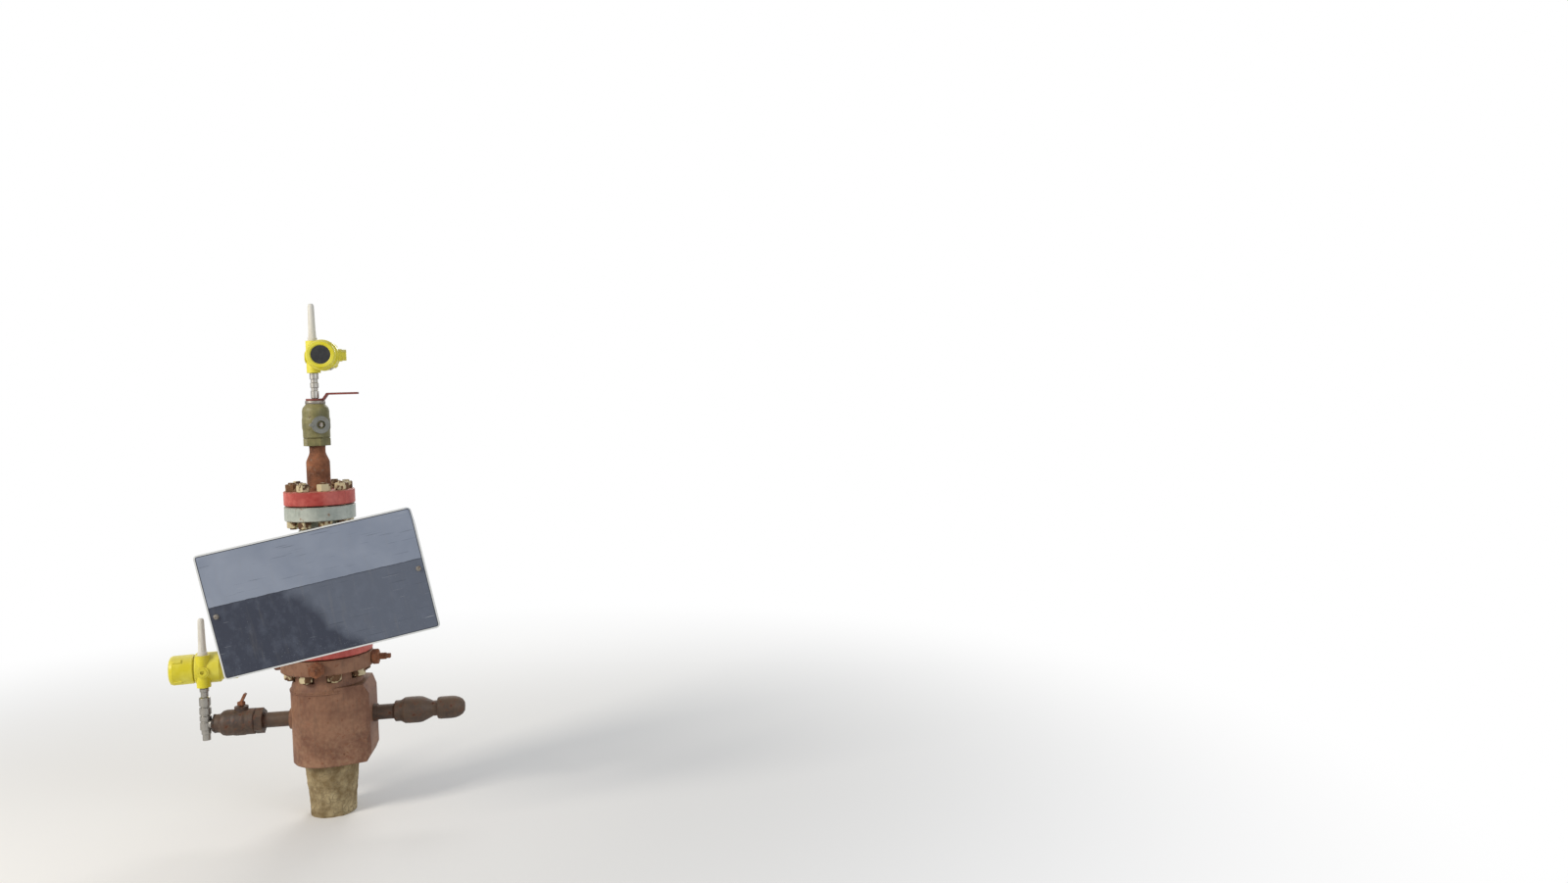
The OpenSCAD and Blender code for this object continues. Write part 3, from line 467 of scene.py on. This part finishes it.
# %% [markdown]
# ## The sign's printed sheet
# The sign is an aluminium sheet with vinyl film on it. The upper film has bleached to
# a pale blue-grey; the lower one is darker at the left and paler grey at the right of a
# slanting line. Both have a thin pale rim, partly a printed border and partly a painted
# highlight where the sheet's rim catches the light. What was printed on it is left off:
# only the film, the peeled band edge, the scratches and the dirt are here. The pattern
# needs places on the sheet itself, so it reads the mesh's own map, whose unit is the
# metre; a number kept on each face says which faces have film.

# %% Sign film
SIGN_WIDTH, SIGN_HEIGHT, SIGN_ROUND = 0.762, 0.457, 0.014
sign_sheet, add = new_material("bleached_vinyl_on_aluminium")
place = add("UVMap", {"uv_map": "sheet"})
axes = add("SeparateXYZ", {0: place})
across, upward = axes.outputs["X"], axes.outputs["Y"]

# the two films, parted at 42 percent from the top along a ragged line that rises by up to 7 mm
SEAM = 0.0385
ragged = add("TexNoise", {"Vector": place, "Scale": per_metre(30), "Detail": 6.0, "Roughness": 0.6})
line = add("Math", {"operation": "MULTIPLY_ADD", 0: ragged, 1: 0.007, 2: upward})
parted = add("MapRange", {"Value": line, "From Min": SEAM + 0.0007, "From Max": SEAM + 0.0017})
smear = add("TexNoise", {"Vector": place, "Scale": per_metre(150), "Detail": 5.0, "Distortion": 0.6})
upper = add("Mix", {0: smear, BASE: linear("#6d7789"), OVER: linear("#939baa")})

# the lower film is darker to the left of a slanting line and paler grey to its right
slope = add("Math", {"operation": "MULTIPLY_ADD", 0: upward, 1: 0.73, 2: across})
slope = add("Math", {"operation": "MULTIPLY_ADD", 0: smear, 1: 0.16, 2: slope})
paler_right_of_slant = add("MapRange", {"Value": slope, "From Min": -0.012, "From Max": 0.045})
lower = add("Mix", {0: paler_right_of_slant, BASE: linear("#2a3040"), OVER: linear("#565d6b")})

# remains of glue in the lower film, in soft smudges of 45 mm
glue = add("Mapping", {"Vector": place, "Scale": (per_metre(45), per_metre(60), 1)})
glue = add("TexNoise", {"Vector": glue, "Scale": 1.0, "Detail": 7.0, "Roughness": 0.62})
glue = add("MapRange", {"Value": glue, "From Min": 0.48, "From Max": 0.75, "To Max": 0.30})
lower = add("Mix", {0: glue, BASE: lower, OVER: linear("#6b7383")})
colour = add("Mix", {0: parted, BASE: lower, OVER: upper})

# a dirty seam where the two films meet
seam = add("Math", {"operation": "SUBTRACT", 0: line, 1: SEAM})
seam = add("Math", {"operation": "ABSOLUTE", 0: seam})
seam = add("MapRange", {"Value": seam, "From Min": 0.0006, "From Max": 0.0024, "To Min": 0.7,
                        "To Max": 0.0})
colour = add("Mix", {0: seam, BASE: colour, OVER: linear("#1f2430")})

# long scratches in pale metal and in dark dirt: noises stretched 36 to 1 along two slants
scratches = {}
for tone, slant, limit in (("#b4b8be", 14, 0.70), ("#2b303b", -20, 0.66)):
    lines = add("Mapping", {"Vector": place, "Rotation": (0, 0, math.radians(slant)),
                            "Scale": (per_metre(180), per_metre(5), 1)})
    lines = add("TexNoise", {"Vector": lines, "Scale": 1.0, "Detail": 3.0, "Distortion": 0.3})
    scratches[tone] = add("MapRange", {"Value": lines, "From Min": limit, "From Max": limit + 0.03,
                                       "To Max": 0.5})
    colour = add("Mix", {0: scratches[tone], BASE: colour, OVER: linear(tone)})

# flecks of the pale undercoat, 4 mm across, thickest along the lower edge
flecks = add("TexNoise", {"Vector": place, "Scale": per_metre(4), "Detail": 2.0})
near_edge = add("MapRange", {"Value": upward, "From Min": -0.12, "From Max": -0.2, "To Min": 0.0,
                             "To Max": 0.04})
flecks = add("Math", {"operation": "ADD", 0: flecks, 1: near_edge})
flecks = add("MapRange", {"Value": flecks, "From Min": 0.72, "From Max": 0.76, "To Max": 0.5})
colour = add("Mix", {0: flecks, BASE: colour, OVER: linear("#a9aeb6")})

# dried drips and dust
down = add("Mapping", {"Vector": place, "Scale": (per_metre(22), per_metre(200), 1)})
drips = add("TexNoise", {"Vector": down, "Scale": 1.0, "Detail": 6.0, "Roughness": 0.6})
drips = add("MapRange", {"Value": drips, "From Min": 0.55, "From Max": 0.85, "To Max": 0.16})
colour = add("Mix", {0: drips, BASE: colour, OVER: linear("#8f8878")})

# the border follows the round corners: 5.5 mm of white, partly printed and partly a
# painted highlight where the rim catches the light, then a dark line of 3 mm
fold_over = add("VectorMath", {"operation": "ABSOLUTE", 0: place})
fold_over = add("VectorMath", {"operation": "SUBTRACT", 0: fold_over,
                               1: (SIGN_WIDTH / 2 - SIGN_ROUND, SIGN_HEIGHT / 2 - SIGN_ROUND, 0)})
beyond = add("VectorMath", {"operation": "MAXIMUM", 0: fold_over, 1: (0, 0, 0)})
beyond = add("VectorMath", {"operation": "LENGTH", 0: beyond})
parts = add("SeparateXYZ", {0: fold_over})
within = add("Math", {"operation": "MAXIMUM", 0: parts.outputs["X"], 1: parts.outputs["Y"]})
within = add("Math", {"operation": "MINIMUM", 0: within, 1: 0.0})
from_edge = add("Math", {"operation": "ADD", 0: beyond, 1: within})
for tone, width in (("#232833", 0.0085), ("#d3d5d4", 0.0055)):
    band = add("MapRange", {"Value": from_edge, "From Min": SIGN_ROUND - width - 0.0005,
                            "From Max": SIGN_ROUND - width + 0.0005})
    colour = add("Mix", {0: band, BASE: colour, OVER: linear(tone)})
roughness = add("MapRange", {"Value": smear, "To Min": 0.34, "To Max": 0.6})
relief = add("Math", {"operation": "MULTIPLY_ADD", 0: scratches["#b4b8be"], 1: -0.8, 2: parted})
bump = add("Bump", {"Height": relief, "Strength": 0.3, "Distance": 0.0003})
shader = add("BsdfPrincipled", {"Base Color": colour, "Normal": bump, "IOR": 1.5, "Roughness": roughness})

# the back has no film: dull bare aluminium with water marks a hand wide
marks = add("TexNoise", {"Vector": place, "Scale": per_metre(80), "Detail": 7.0, "Roughness": 0.62})
marks = add("MapRange", {"Value": marks, "From Min": 0.38, "From Max": 0.66})
bare = add("Mix", {0: marks, BASE: linear("#888b8d"), OVER: linear("#a3a5a5")})
bare = add("Mix", {0: drips, BASE: bare, OVER: linear("#6f6655")})
dulled = add("MapRange", {"Value": marks, "To Min": 0.62, "To Max": 0.42})
sheet_back = add("BsdfPrincipled", {"Base Color": bare, "Metallic": 0.85, "Roughness": dulled})
printed = add("Attribute", {"attribute_name": "printed"})
sides = add("MixShader", {0: printed.outputs["Fac"], 1: sheet_back, 2: shader})
add("OutputMaterial", {"Surface": sides})
print("sign film is", SIGN_WIDTH, "by", SIGN_HEIGHT, "m")

# %% [markdown]
# ## Give every solid its finish
# The record that came with the solids names a material slot for each of them. One
# table from slot to finish is enough, and it can't forget a solid.

# %% Finishes by slot
FINISHES = {
    "casing_steel": casing_steel, "caked_mud": caked_mud, "oxide_paint": oxide_paint,
    "red_paint": red_paint, "wheel_paint": wheel_paint, "grey_paint": grey_paint,
    "olive_paint": olive_paint, "yellow_paint": yellow_paint, "brown_pipe": brown_pipe,
    "rusted_steel": rusted_steel, "stud_steel": stud_steel, "ring_steel": ring_steel,
    "bare_steel": bare_steel, "plate_steel": plate_steel, "bushing_iron": bushing_iron,
    "lever_paint": lever_paint, "stainless": stainless, "dark_glass": dark_glass,
    "antenna_plastic": antenna_plastic, "sign_sheet": sign_sheet,
}
slot_of = {part["node"]: part["material_slot"] for part in frame["record"]["subparts"]}
for node, solid in frame["nodes"].items():
    solid.data.materials.clear()
    solid.data.materials.append(FINISHES[slot_of[node]])
print("dressed", len(slot_of), "solids")

# %% [markdown]
# ## Helpers for new pieces
# A new piece is built point by point in a bmesh, because threads and chamfers follow
# formulas. Rings of points joined by faces make nearly everything round. The last
# helper turns a bmesh into an object, keeps edges crisp above 35 degrees, hangs it on
# the empty of the body it rides on, and hides the solid it stands for.

# %% Mesh helpers
def circle(radius, z, count):
    """Points of a circle around the z axis."""
    return [Vector((radius * math.cos(a), radius * math.sin(a), z))
            for a in [2 * math.pi * i / count for i in range(count)]]


def loft(bm, place, rings, ends="caps"):
    """Joins rings of equal count by quads; ends are caps, or a wrap back to the first ring."""
    rows = [[bm.verts.new(place @ point) for point in ring] for ring in rings]
    pairs = list(zip(rows, rows[1:]))
    if ends == "wrap":
        pairs.append((rows[-1], rows[0]))
    for low, high in pairs:
        for i in range(len(low)):
            j = (i + 1) % len(low)
            bm.faces.new((low[i], low[j], high[j], high[i]))
    if ends == "caps":
        bm.faces.new(list(reversed(rows[0])))
        bm.faces.new(rows[-1])


def lathed(bm, place, outline, count, ends="caps"):
    """A round piece up +Z of place; outline lists its (radius, height) points."""
    loft(bm, place, [circle(radius, z, count) for radius, z in outline], ends)


def finished_piece(name, bm, slot, stands_for=(), body="stack"):
    bmesh.ops.recalc_face_normals(bm, faces=bm.faces)
    mesh = bpy.data.meshes.new(name)
    bm.to_mesh(mesh)
    bm.free()
    mesh.shade_smooth()
    mesh.set_sharp_from_angle(angle=math.radians(35))
    mesh.materials.append(FINISHES[slot])
    obj = bpy.data.objects.new(name, mesh)
    bpy.context.scene.collection.objects.link(obj)
    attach(obj, body)
    if stands_for:
        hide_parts(*stands_for)
    print(name, "has", len(mesh.polygons), "faces")


def raised(place, height):
    """The frame place, moved along its own +Z."""
    return place @ Matrix.Translation((0, 0, height))


def turned_to(direction, place, spin=0.0):
    """A frame whose +Z looks along direction, spun about it."""
    return (Matrix.Translation(place) @ Vector(direction).to_track_quat("Z", "Y").to_matrix().to_4x4()
            @ Matrix.Rotation(spin, 4, "Z"))


# %% [markdown]
# ## Studs and nuts
# Flanges are held by threaded studs with a heavy hexagonal nut at each end. A nut is
# a hexagon cut back by a cone of 30 degrees on both faces, which gives its corners
# those round arcs. A thread is a groove that climbs 3.175 mm each turn; the rings of
# points here swell and shrink with the angle, so that the ridge really is a helix. It
# is modelled only where it shows: at the ends and in the gap between two flanges.

# %% Nut and threaded rod
ROD_CHAMFER = 0.0015


def hex_nut(bm, place, flats, height, bore):
    """A chamfered hexagonal nut up +Z of place, one flat towards its +X."""
    sides, steps = 6, 6
    count = sides * steps
    face_radius = 0.95 * flats / 2
    outline = []
    for i in range(count):
        a = 2 * math.pi * i / count
        off_flat = (a + math.pi / sides) % (2 * math.pi / sides) - math.pi / sides
        r = flats / 2 / math.cos(off_flat)
        outline.append((r * math.cos(a), r * math.sin(a), (r - face_radius) * math.tan(math.radians(30))))
    rings = [
        circle(bore / 2, 0, count), circle(face_radius, 0, count),
        [Vector((x, y, cut)) for x, y, cut in outline],
        [Vector((x, y, height - cut)) for x, y, cut in outline],
        circle(face_radius, height, count), circle(bore / 2, height, count),
    ]
    loft(bm, place, rings, ends="wrap")


def threaded_rod(bm, place, diameter, length, pitch, threaded, count=24):
    """A rod up +Z of place; threaded lists the stretches (from, to) that show their thread."""
    crest, root = diameter / 2, diameter / 2 - 0.55 * pitch
    levels = {0.0, ROD_CHAMFER, length - ROD_CHAMFER, length}
    for start, stop in threaded:
        steps = int((stop - start) / (pitch / 4))
        levels |= {start + (stop - start) * k / steps for k in range(steps + 1)}
    rings = []
    for z in sorted(levels):
        in_thread = any(start <= z <= stop for start, stop in threaded)
        ring = []
        for i in range(count):
            a = 2 * math.pi * i / count
            ridge = abs(((z / pitch - i / count) % 1) * 2 - 1)
            r = root + (crest - root) * ridge if in_thread else crest
            r -= 0.0012 if z in (0.0, length) else 0
            ring.append(Vector((r * math.cos(a), r * math.sin(a), z)))
        rings.append(ring)
    loft(bm, place, rings)


# %% Studs of the three flange pairs
STUD, STUD_PITCH, STUD_END = 0.0286, 0.003175, 0.006
NUT_FLATS, STUD_COUNT = 0.046, 8
LARGE_CIRCLE, SMALL_CIRCLE = 0.2794, 0.2032
FLANGE_GAP, THREAD_SEEN = 0.005, 0.009
# a nut's bore is a little less than its bolt, so that no slit shows between them
BORE_SHARE = 0.96


def flange_studs(name, node, circle_diameter, nuts_below, gap_z):
    """The studs of one flange pair, on the places of the solids they stand for."""
    low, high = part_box(node)[0][2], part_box(node)[1][2]
    length = high - low
    bm = bmesh.new()
    for i in range(STUD_COUNT):
        a = 2 * math.pi * (i + 0.5) / STUD_COUNT
        foot = Matrix.Rotation(a, 4, "Z") @ Matrix.Translation((circle_diameter / 2, 0, low))
        gap = gap_z - low
        threaded_rod(bm, foot, STUD, length, STUD_PITCH,
                     [(ROD_CHAMFER, THREAD_SEEN), (gap - 0.001, gap + FLANGE_GAP + 0.001),
                      (length - THREAD_SEEN, length - ROD_CHAMFER)])
        hex_nut(bm, raised(foot, length - STUD_END - STUD), NUT_FLATS, STUD, STUD * BORE_SHARE)
        if nuts_below:
            hex_nut(bm, raised(foot, STUD_END), NUT_FLATS, STUD, STUD * BORE_SHARE)
    finished_piece(name, bm, "stud_steel", [node])


adapter_low, adapter_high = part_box("adapter")[0][2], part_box("adapter")[1][2]
valve_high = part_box("master_valve_body")[1][2]
flange_studs("lower_studs_threaded", "lower_studs", LARGE_CIRCLE, True, adapter_low - FLANGE_GAP)
flange_studs("middle_studs_threaded", "middle_studs", SMALL_CIRCLE, False, adapter_high)
flange_studs("upper_studs_threaded", "upper_studs", SMALL_CIRCLE, True, valve_high)

# %% Studs of the bonnet
BONNET_STUD, BONNET_PITCH, BONNET_NUT, BONNET_CIRCLE = 0.0222, 0.00254, 0.0365, 0.192
front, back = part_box("bonnet_studs")[0][1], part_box("bonnet_studs")[1][1]
valve_middle = (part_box("master_valve_body")[0][2] + valve_high) / 2
bm = bmesh.new()
for i in range(STUD_COUNT):
    a = 2 * math.pi * (i + 0.5) / STUD_COUNT
    centre = Vector((BONNET_CIRCLE / 2 * math.cos(a), back, valve_middle + BONNET_CIRCLE / 2 * math.sin(a)))
    foot = turned_to((0, -1, 0), centre)
    length = back - front
    threaded_rod(bm, foot, BONNET_STUD, length, BONNET_PITCH, [(length - THREAD_SEEN, length - ROD_CHAMFER)])
    seat = raised(turned_to((0, -1, 0), centre, -a), length - STUD_END - BONNET_STUD)
    hex_nut(bm, seat, BONNET_NUT, BONNET_STUD, BONNET_STUD * BORE_SHARE)
finished_piece("bonnet_studs_threaded", bm, "stud_steel", ["bonnet_studs"])

# %% [markdown]
# ## Lock screws
# Four screws go through the casing head's flange and lock the hanger inside it. Each
# has a gland nut against the flange, a threaded shank and a squared end for a wrench.

# %% Lock screws
FLANGE_RIM = 0.34930 / 2
GLAND_FLATS, GLAND_HEIGHT, SHANK, SUNK = 0.054, 0.026, 0.028, 0.02
SQUARE, SQUARE_LENGTH, SQUARE_BEVEL = 0.018, 0.017, 0.002
lock_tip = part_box("lock_screws")[1][0]
lock_z = (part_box("lock_screws")[0][2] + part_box("lock_screws")[1][2]) / 2
bm = bmesh.new()
for i in range(4):
    a = math.pi / 2 * i
    out_of_flange = Vector((math.cos(a), math.sin(a), 0))
    foot = turned_to(out_of_flange, out_of_flange * FLANGE_RIM + Vector((0, 0, lock_z)))
    hex_nut(bm, foot, GLAND_FLATS, GLAND_HEIGHT, SHANK * BORE_SHARE)
    reach = lock_tip - FLANGE_RIM - SQUARE_LENGTH
    seen = (SUNK + GLAND_HEIGHT - 0.001, SUNK + reach - ROD_CHAMFER)
    threaded_rod(bm, raised(foot, -SUNK), SHANK, reach + SUNK, STUD_PITCH, [seen])
    end = reach + SQUARE_LENGTH
    rings = []
    for z, inset in ((reach - 0.002, 0), (end - SQUARE_BEVEL, 0), (end, SQUARE_BEVEL)):
        h = SQUARE / 2 - inset
        near = h - SQUARE_BEVEL
        rings.append([Vector((x, y, z)) for x, y in (
            (h, -near), (h, near), (near, h), (-near, h), (-h, near), (-h, -near), (-near, -h), (near, -h))])
    loft(bm, foot, rings)
finished_piece("lock_screws_threaded", bm, "rusted_steel", ["lock_screws"])

# %% [markdown]
# ## Pipe threads and the pale neck band
# Pipe threads taper, so a screwed pipe never goes all the way in: three or four turns
# stay in sight outside each socket. A sleeve 8 mm long with the same climbing ridge as
# the studs shows them. The pale band of bare steel on the olive valve's neck is a ring
# of its own, and a painted highlight: it stands for light glinting off the neck's top edge.

# %% Threads at the sockets
PIPE_RADIUS, PIPE_PITCH, SLEEVE = 0.0603 / 2, 0.002209, 0.008


def pipe_thread(bm, place, count=48):
    """A sleeve of pipe thread from place up its +Z."""
    steps = int(SLEEVE / (PIPE_PITCH / 5))
    rings = [circle(PIPE_RADIUS - 0.0006, 0, count)]
    for k in range(steps + 1):
        z = SLEEVE * k / steps
        fade = 1 - 0.7 * z / SLEEVE
        ring = []
        for i, point in enumerate(circle(1.0, z, count)):
            ridge = abs(((z / PIPE_PITCH - i / count) % 1) * 2 - 1)
            r = PIPE_RADIUS + 0.0001 + 0.0012 * ridge * fade
            ring.append(Vector((point.x * r, point.y * r, z)))
        rings.append(ring)
    rings.append(circle(PIPE_RADIUS - 0.0006, SLEEVE, count))
    loft(bm, place, rings, ends="wrap")


outlet_z = (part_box("left_nipple")[0][2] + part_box("left_nipple")[1][2]) / 2
bm = bmesh.new()
pipe_thread(bm, turned_to((0, 0, -1), (0, 0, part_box("top_valve_end")[0][2])))
finished_piece("swage_thread", bm, "rusted_steel")
bm = bmesh.new()
pipe_thread(bm, turned_to((1, 0, 0), (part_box("left_valve_end")[1][0], 0, outlet_z)))
pipe_thread(bm, turned_to((-1, 0, 0), (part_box("right_valve")[0][0], 0, outlet_z)))
finished_piece("side_pipe_threads", bm, "brown_pipe")

# %% Bare band on the top valve's neck
# the band's pale steel is a painted highlight, for light glinting off the neck's top edge
# radii and heights from the neck's top; the inner ones lie inside the neck
NECK_BAND = [(0.0355, -0.0125), (0.0374, -0.0125), (0.0381, -0.0115),
             (0.0381, -0.0025), (0.0372, -0.0012), (0.0350, -0.0012)]
bm = bmesh.new()
lathed(bm, raised(Matrix.Identity(4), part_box("top_valve_body")[1][2]), NECK_BAND, 64, "wrap")
finished_piece("top_valve_neck_band", bm, "bare_steel")

# %% [markdown]
# ## Small parts of the gauges
# The covers are screwed on by hand or with a bar, so they have raised lugs to push
# against. An earth screw sits low on each housing. Both gauges are one casting, so
# the parts are built once in the gauge's own frame and placed twice.

# %% Gauge lugs and earth screws
GAUGE_OFFSET = 0.037
HOUSING_RADIUS, BACK_RADIUS, FRONT_RADIUS, HALF_LENGTH = 0.061, 0.058, 0.054, 0.124
# length along the gauge, width around it and height of a lug
BACK_LUG, FRONT_LUG = (0.030, 0.017, 0.0042), (0.020, 0.014, 0.0035)
# radii and heights of the earth screw's washer, whose edge is rounded over
EARTH_WASHER = [(0.008, -0.002), (0.008, 0.0012), (0.0055, 0.0016)]


def lug(bm, place, length, width, height):
    """A raised block up +Z of place, its top drawn in by the casting's draft."""
    rings = []
    for z, inset in ((-0.002, 0), (height - 0.001, 0.0008), (height, 0.0018)):
        x, y = length / 2 - inset, width / 2 - inset
        rings.append([Vector((x, y, z)), Vector((-x, y, z)), Vector((-x, -y, z)), Vector((x, -y, z))])
    loft(bm, place, rings)


for side, turn in (("top", 8), ("left", 100)):
    antenna_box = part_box(side + "_gauge_antenna")
    glass_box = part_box(side + "_gauge_glass")
    mast = Vector(((antenna_box[0][0] + antenna_box[1][0]) / 2, (antenna_box[0][1] + antenna_box[1][1]) / 2,
                   (glass_box[0][2] + glass_box[1][2]) / 2))
    gauge = (Matrix.Translation(mast) @ Matrix.Rotation(math.radians(turn), 4, "Z")
             @ Matrix.Translation((GAUGE_OFFSET, 0, 0)))
    bm = bmesh.new()
    for k in range(4):
        # this frame's +Z points out from the housing's axis, its +X along the axis
        out = (gauge @ Matrix.Rotation(math.radians(45 + 90 * k), 4, "Y")
               @ Matrix.Rotation(math.pi / 2, 4, "Z"))
        lug(bm, out @ Matrix.Translation((HALF_LENGTH - 0.034, 0, BACK_RADIUS)), *BACK_LUG)
        lug(bm, out @ Matrix.Translation((-HALF_LENGTH + 0.020, 0, FRONT_RADIUS)), *FRONT_LUG)
    finished_piece(side + "_gauge_lugs", bm, "yellow_paint")
    bm = bmesh.new()
    low = gauge @ Matrix.Rotation(math.radians(150), 4, "Y") @ Matrix.Translation((0, -0.044, HOUSING_RADIUS))
    lathed(bm, low, EARTH_WASHER, 32)
    hex_nut(bm, raised(low, 0.0014), 0.010, 0.005, 0.004)
    finished_piece(side + "_gauge_earth_screw", bm, "stainless")

# %% [markdown]
# ## Caked mud
# The crust is thickest right under the casing head, where the slurry ran over, and
# thins towards the ground. It could be sculpted; a turned profile pushed in and out by
# noise does the same and repeats exactly at each run. One of the noises is stretched
# upright, which makes the runs that the slurry left.

# %% Mud mesh
CASING_RADIUS = 0.16830 / 2
mud_low, mud_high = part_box("caked_mud")[0][2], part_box("caked_mud")[1][2]
# radius of the crust at heights from the ground to the head, in metres
MUD_PROFILE = [(0.0, 0.088), (0.040, 0.089), (0.090, 0.093), (0.140, 0.097),
               (0.172, 0.100), (0.200, 0.1035), (0.212, 0.103), (0.218, 0.099)]


def mud_radius(z):
    """The smooth crust's radius at height z."""
    for (z0, r0), (z1, r1) in zip(MUD_PROFILE, MUD_PROFILE[1:]):
        if z <= z1:
            return r0 + (r1 - r0) * (z - z0) / (z1 - z0)
    return MUD_PROFILE[-1][1]


AROUND, LEVELS = 168, 84
rings = [circle(CASING_RADIUS - 0.004, mud_low, AROUND)]
for k in range(LEVELS + 1):
    z = mud_low + (mud_high - mud_low) * k / LEVELS
    ring = []
    for point in circle(1.0, z, AROUND):
        spot = Vector((point.x * 0.095, point.y * 0.095, z))
        runs = 0.0026 * noise.noise(Vector((spot.x * 48, spot.y * 48, z * 9)))
        lumps = 0.0030 * noise.noise(spot * 18) + 0.0016 * noise.noise(spot * 46 + Vector((3, 1, 7)))
        crumbs = (0.0008 * noise.noise(spot * 150)
                  + 0.0010 * max(0, noise.noise(spot * 80 + Vector((9, 2, 5)))))
        r = max(CASING_RADIUS + 0.001, mud_radius(z) - 0.001 + runs + lumps + crumbs)
        ring.append(Vector((point.x * r, point.y * r, z)))
    rings.append(ring)
rings.append(circle(CASING_RADIUS - 0.004, mud_high, AROUND))
bm = bmesh.new()
loft(bm, Matrix.Identity(4), rings, ends="wrap")
finished_piece("caked_mud_crust", bm, "caked_mud", ["caked_mud"])

# %% [markdown]
# ## The sign's sheet
# A thin sheet that has hung outdoors isn't flat: it has slipped round on its bolts,
# its edges wave a little, and its top right corner was bent back. A grid of points is
# pulled into a rectangle with round corners, waved by noise away from the strap that
# holds it, and folded along the corner's crease.

# %% Sign sheet
SIGN_ROLL, SHEET, CELL = math.radians(11), 0.003, 0.008
SIGN_MIDDLE = Vector((0.099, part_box("sign_strap")[0][1], 0.974))
CREASE_X, CREASE_Y, BEND = 0.025, 0.066, math.radians(48)
half_w, half_h = SIGN_WIDTH / 2, SIGN_HEIGHT / 2
sign_frame = (Matrix.Translation(SIGN_MIDDLE) @ Matrix.Rotation(math.pi / 2, 4, "X")
              @ Matrix.Rotation(SIGN_ROLL, 4, "Z"))
crease_foot = Vector((half_w, half_h - CREASE_Y, 0))
crease = Vector((-CREASE_X, CREASE_Y, 0)).normalized()
outward = Vector((crease.y, -crease.x, 0))


def on_sheet(u, v):
    """Pulls a point of the grid into the round corners."""
    over_u, over_v = abs(u) - (half_w - SIGN_ROUND), abs(v) - (half_h - SIGN_ROUND)
    if over_u > 0 and over_v > 0:
        shrink = max(over_u, over_v) / math.hypot(over_u, over_v)
        u = math.copysign(half_w - SIGN_ROUND + over_u * shrink, u)
        v = math.copysign(half_h - SIGN_ROUND + over_v * shrink, v)
    return u, v


def bent_sheet(u, v, lift):
    """A point of the sheet after waving and folding; lift is its height above the back."""
    wave = 0.0022 * noise.noise(Vector((u * 6, v * 6, 2))) + 0.0012 * noise.noise(Vector((u * 17, v * 17, 5)))
    free = min(1, max(0, abs(v) - 0.03) / 0.12)
    point = Vector((u, v, lift + max(wave, -0.0004) * free))
    past = (point - crease_foot).dot(outward)
    if past > 0:
        along = (point - crease_foot).dot(crease)
        turned = crease_foot + crease * along + outward * (past * math.cos(BEND))
        point = Vector((turned.x, turned.y, point.z - past * math.sin(BEND)))
    return point


columns, rows = round(SIGN_WIDTH / CELL), round(SIGN_HEIGHT / CELL)
bm = bmesh.new()
sheet_map = bm.loops.layers.uv.new("sheet")
film_here = bm.faces.layers.float.new("printed")
grid = {}
for side, lift in (("back", 0.0), ("front", SHEET)):
    for i in range(columns + 1):
        for j in range(rows + 1):
            u, v = on_sheet(-half_w + SIGN_WIDTH * i / columns, -half_h + SIGN_HEIGHT * j / rows)
            grid[side, i, j] = (bm.verts.new(sign_frame @ bent_sheet(u, v, lift)), (u, v))


def sheet_face(keys):
    """A face over grid points, with its map and whether it has film."""
    face = bm.faces.new([grid[key][0] for key in keys])
    face[film_here] = float(all(side == "front" for side, _, _ in keys))
    for loop, key in zip(face.loops, keys):
        loop[sheet_map].uv = grid[key][1]


for i in range(columns):
    for j in range(rows):
        around = [(i, j), (i + 1, j), (i + 1, j + 1), (i, j + 1)]
        sheet_face([("front", *spot) for spot in around])
        sheet_face([("back", *spot) for spot in reversed(around)])
edge = ([(i, 0) for i in range(columns)] + [(columns, j) for j in range(rows)]
        + [(i, rows) for i in range(columns, 0, -1)] + [(0, j) for j in range(rows, 0, -1)])
for here, there in zip(edge, edge[1:] + edge[:1]):
    sheet_face([("back", *here), ("back", *there), ("front", *there), ("front", *here)])
finished_piece("sign_sheet_worn", bm, "sign_sheet", ["sign_panel"])

# %% Sign bolts
BOLT_APART, BOLT, BOLT_PITCH, BOLT_FLATS, STRAP = SIGN_WIDTH / 2 - 0.026, 0.008, 0.00125, 0.014, 0.005
WASHER = 0.0014
WASHER_OUTLINE = [(0.0042, 0), (0.0095, 0), (0.0095, WASHER), (0.0042, WASHER)]
bolt_tip, bolt_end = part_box("sign_bolts")[0][1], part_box("sign_bolts")[1][1]
head_height = SIGN_MIDDLE.y - SHEET - bolt_tip
nut_height = bolt_end - (SIGN_MIDDLE.y + STRAP)
bm = bmesh.new()
for side in (-1, 1):
    spot = sign_frame @ Matrix.Translation((side * BOLT_APART, 0, 0)) @ Matrix.Rotation(0.4 * side, 4, "Z")
    back_end = raised(spot, -STRAP - nut_height)
    # its threads hide in the strap and the nut, so it is a plain rod
    threaded_rod(bm, back_end, BOLT, STRAP + nut_height + SHEET + head_height - 0.0005, BOLT_PITCH, [])
    lathed(bm, raised(spot, SHEET), WASHER_OUTLINE, 32, "wrap")
    hex_nut(bm, raised(spot, SHEET + WASHER), BOLT_FLATS, head_height - WASHER, BOLT * 0.9)
    hex_nut(bm, back_end, BOLT_FLATS, nut_height, BOLT * 0.9)
finished_piece("sign_bolts_and_washers", bm, "bare_steel", ["sign_bolts"])
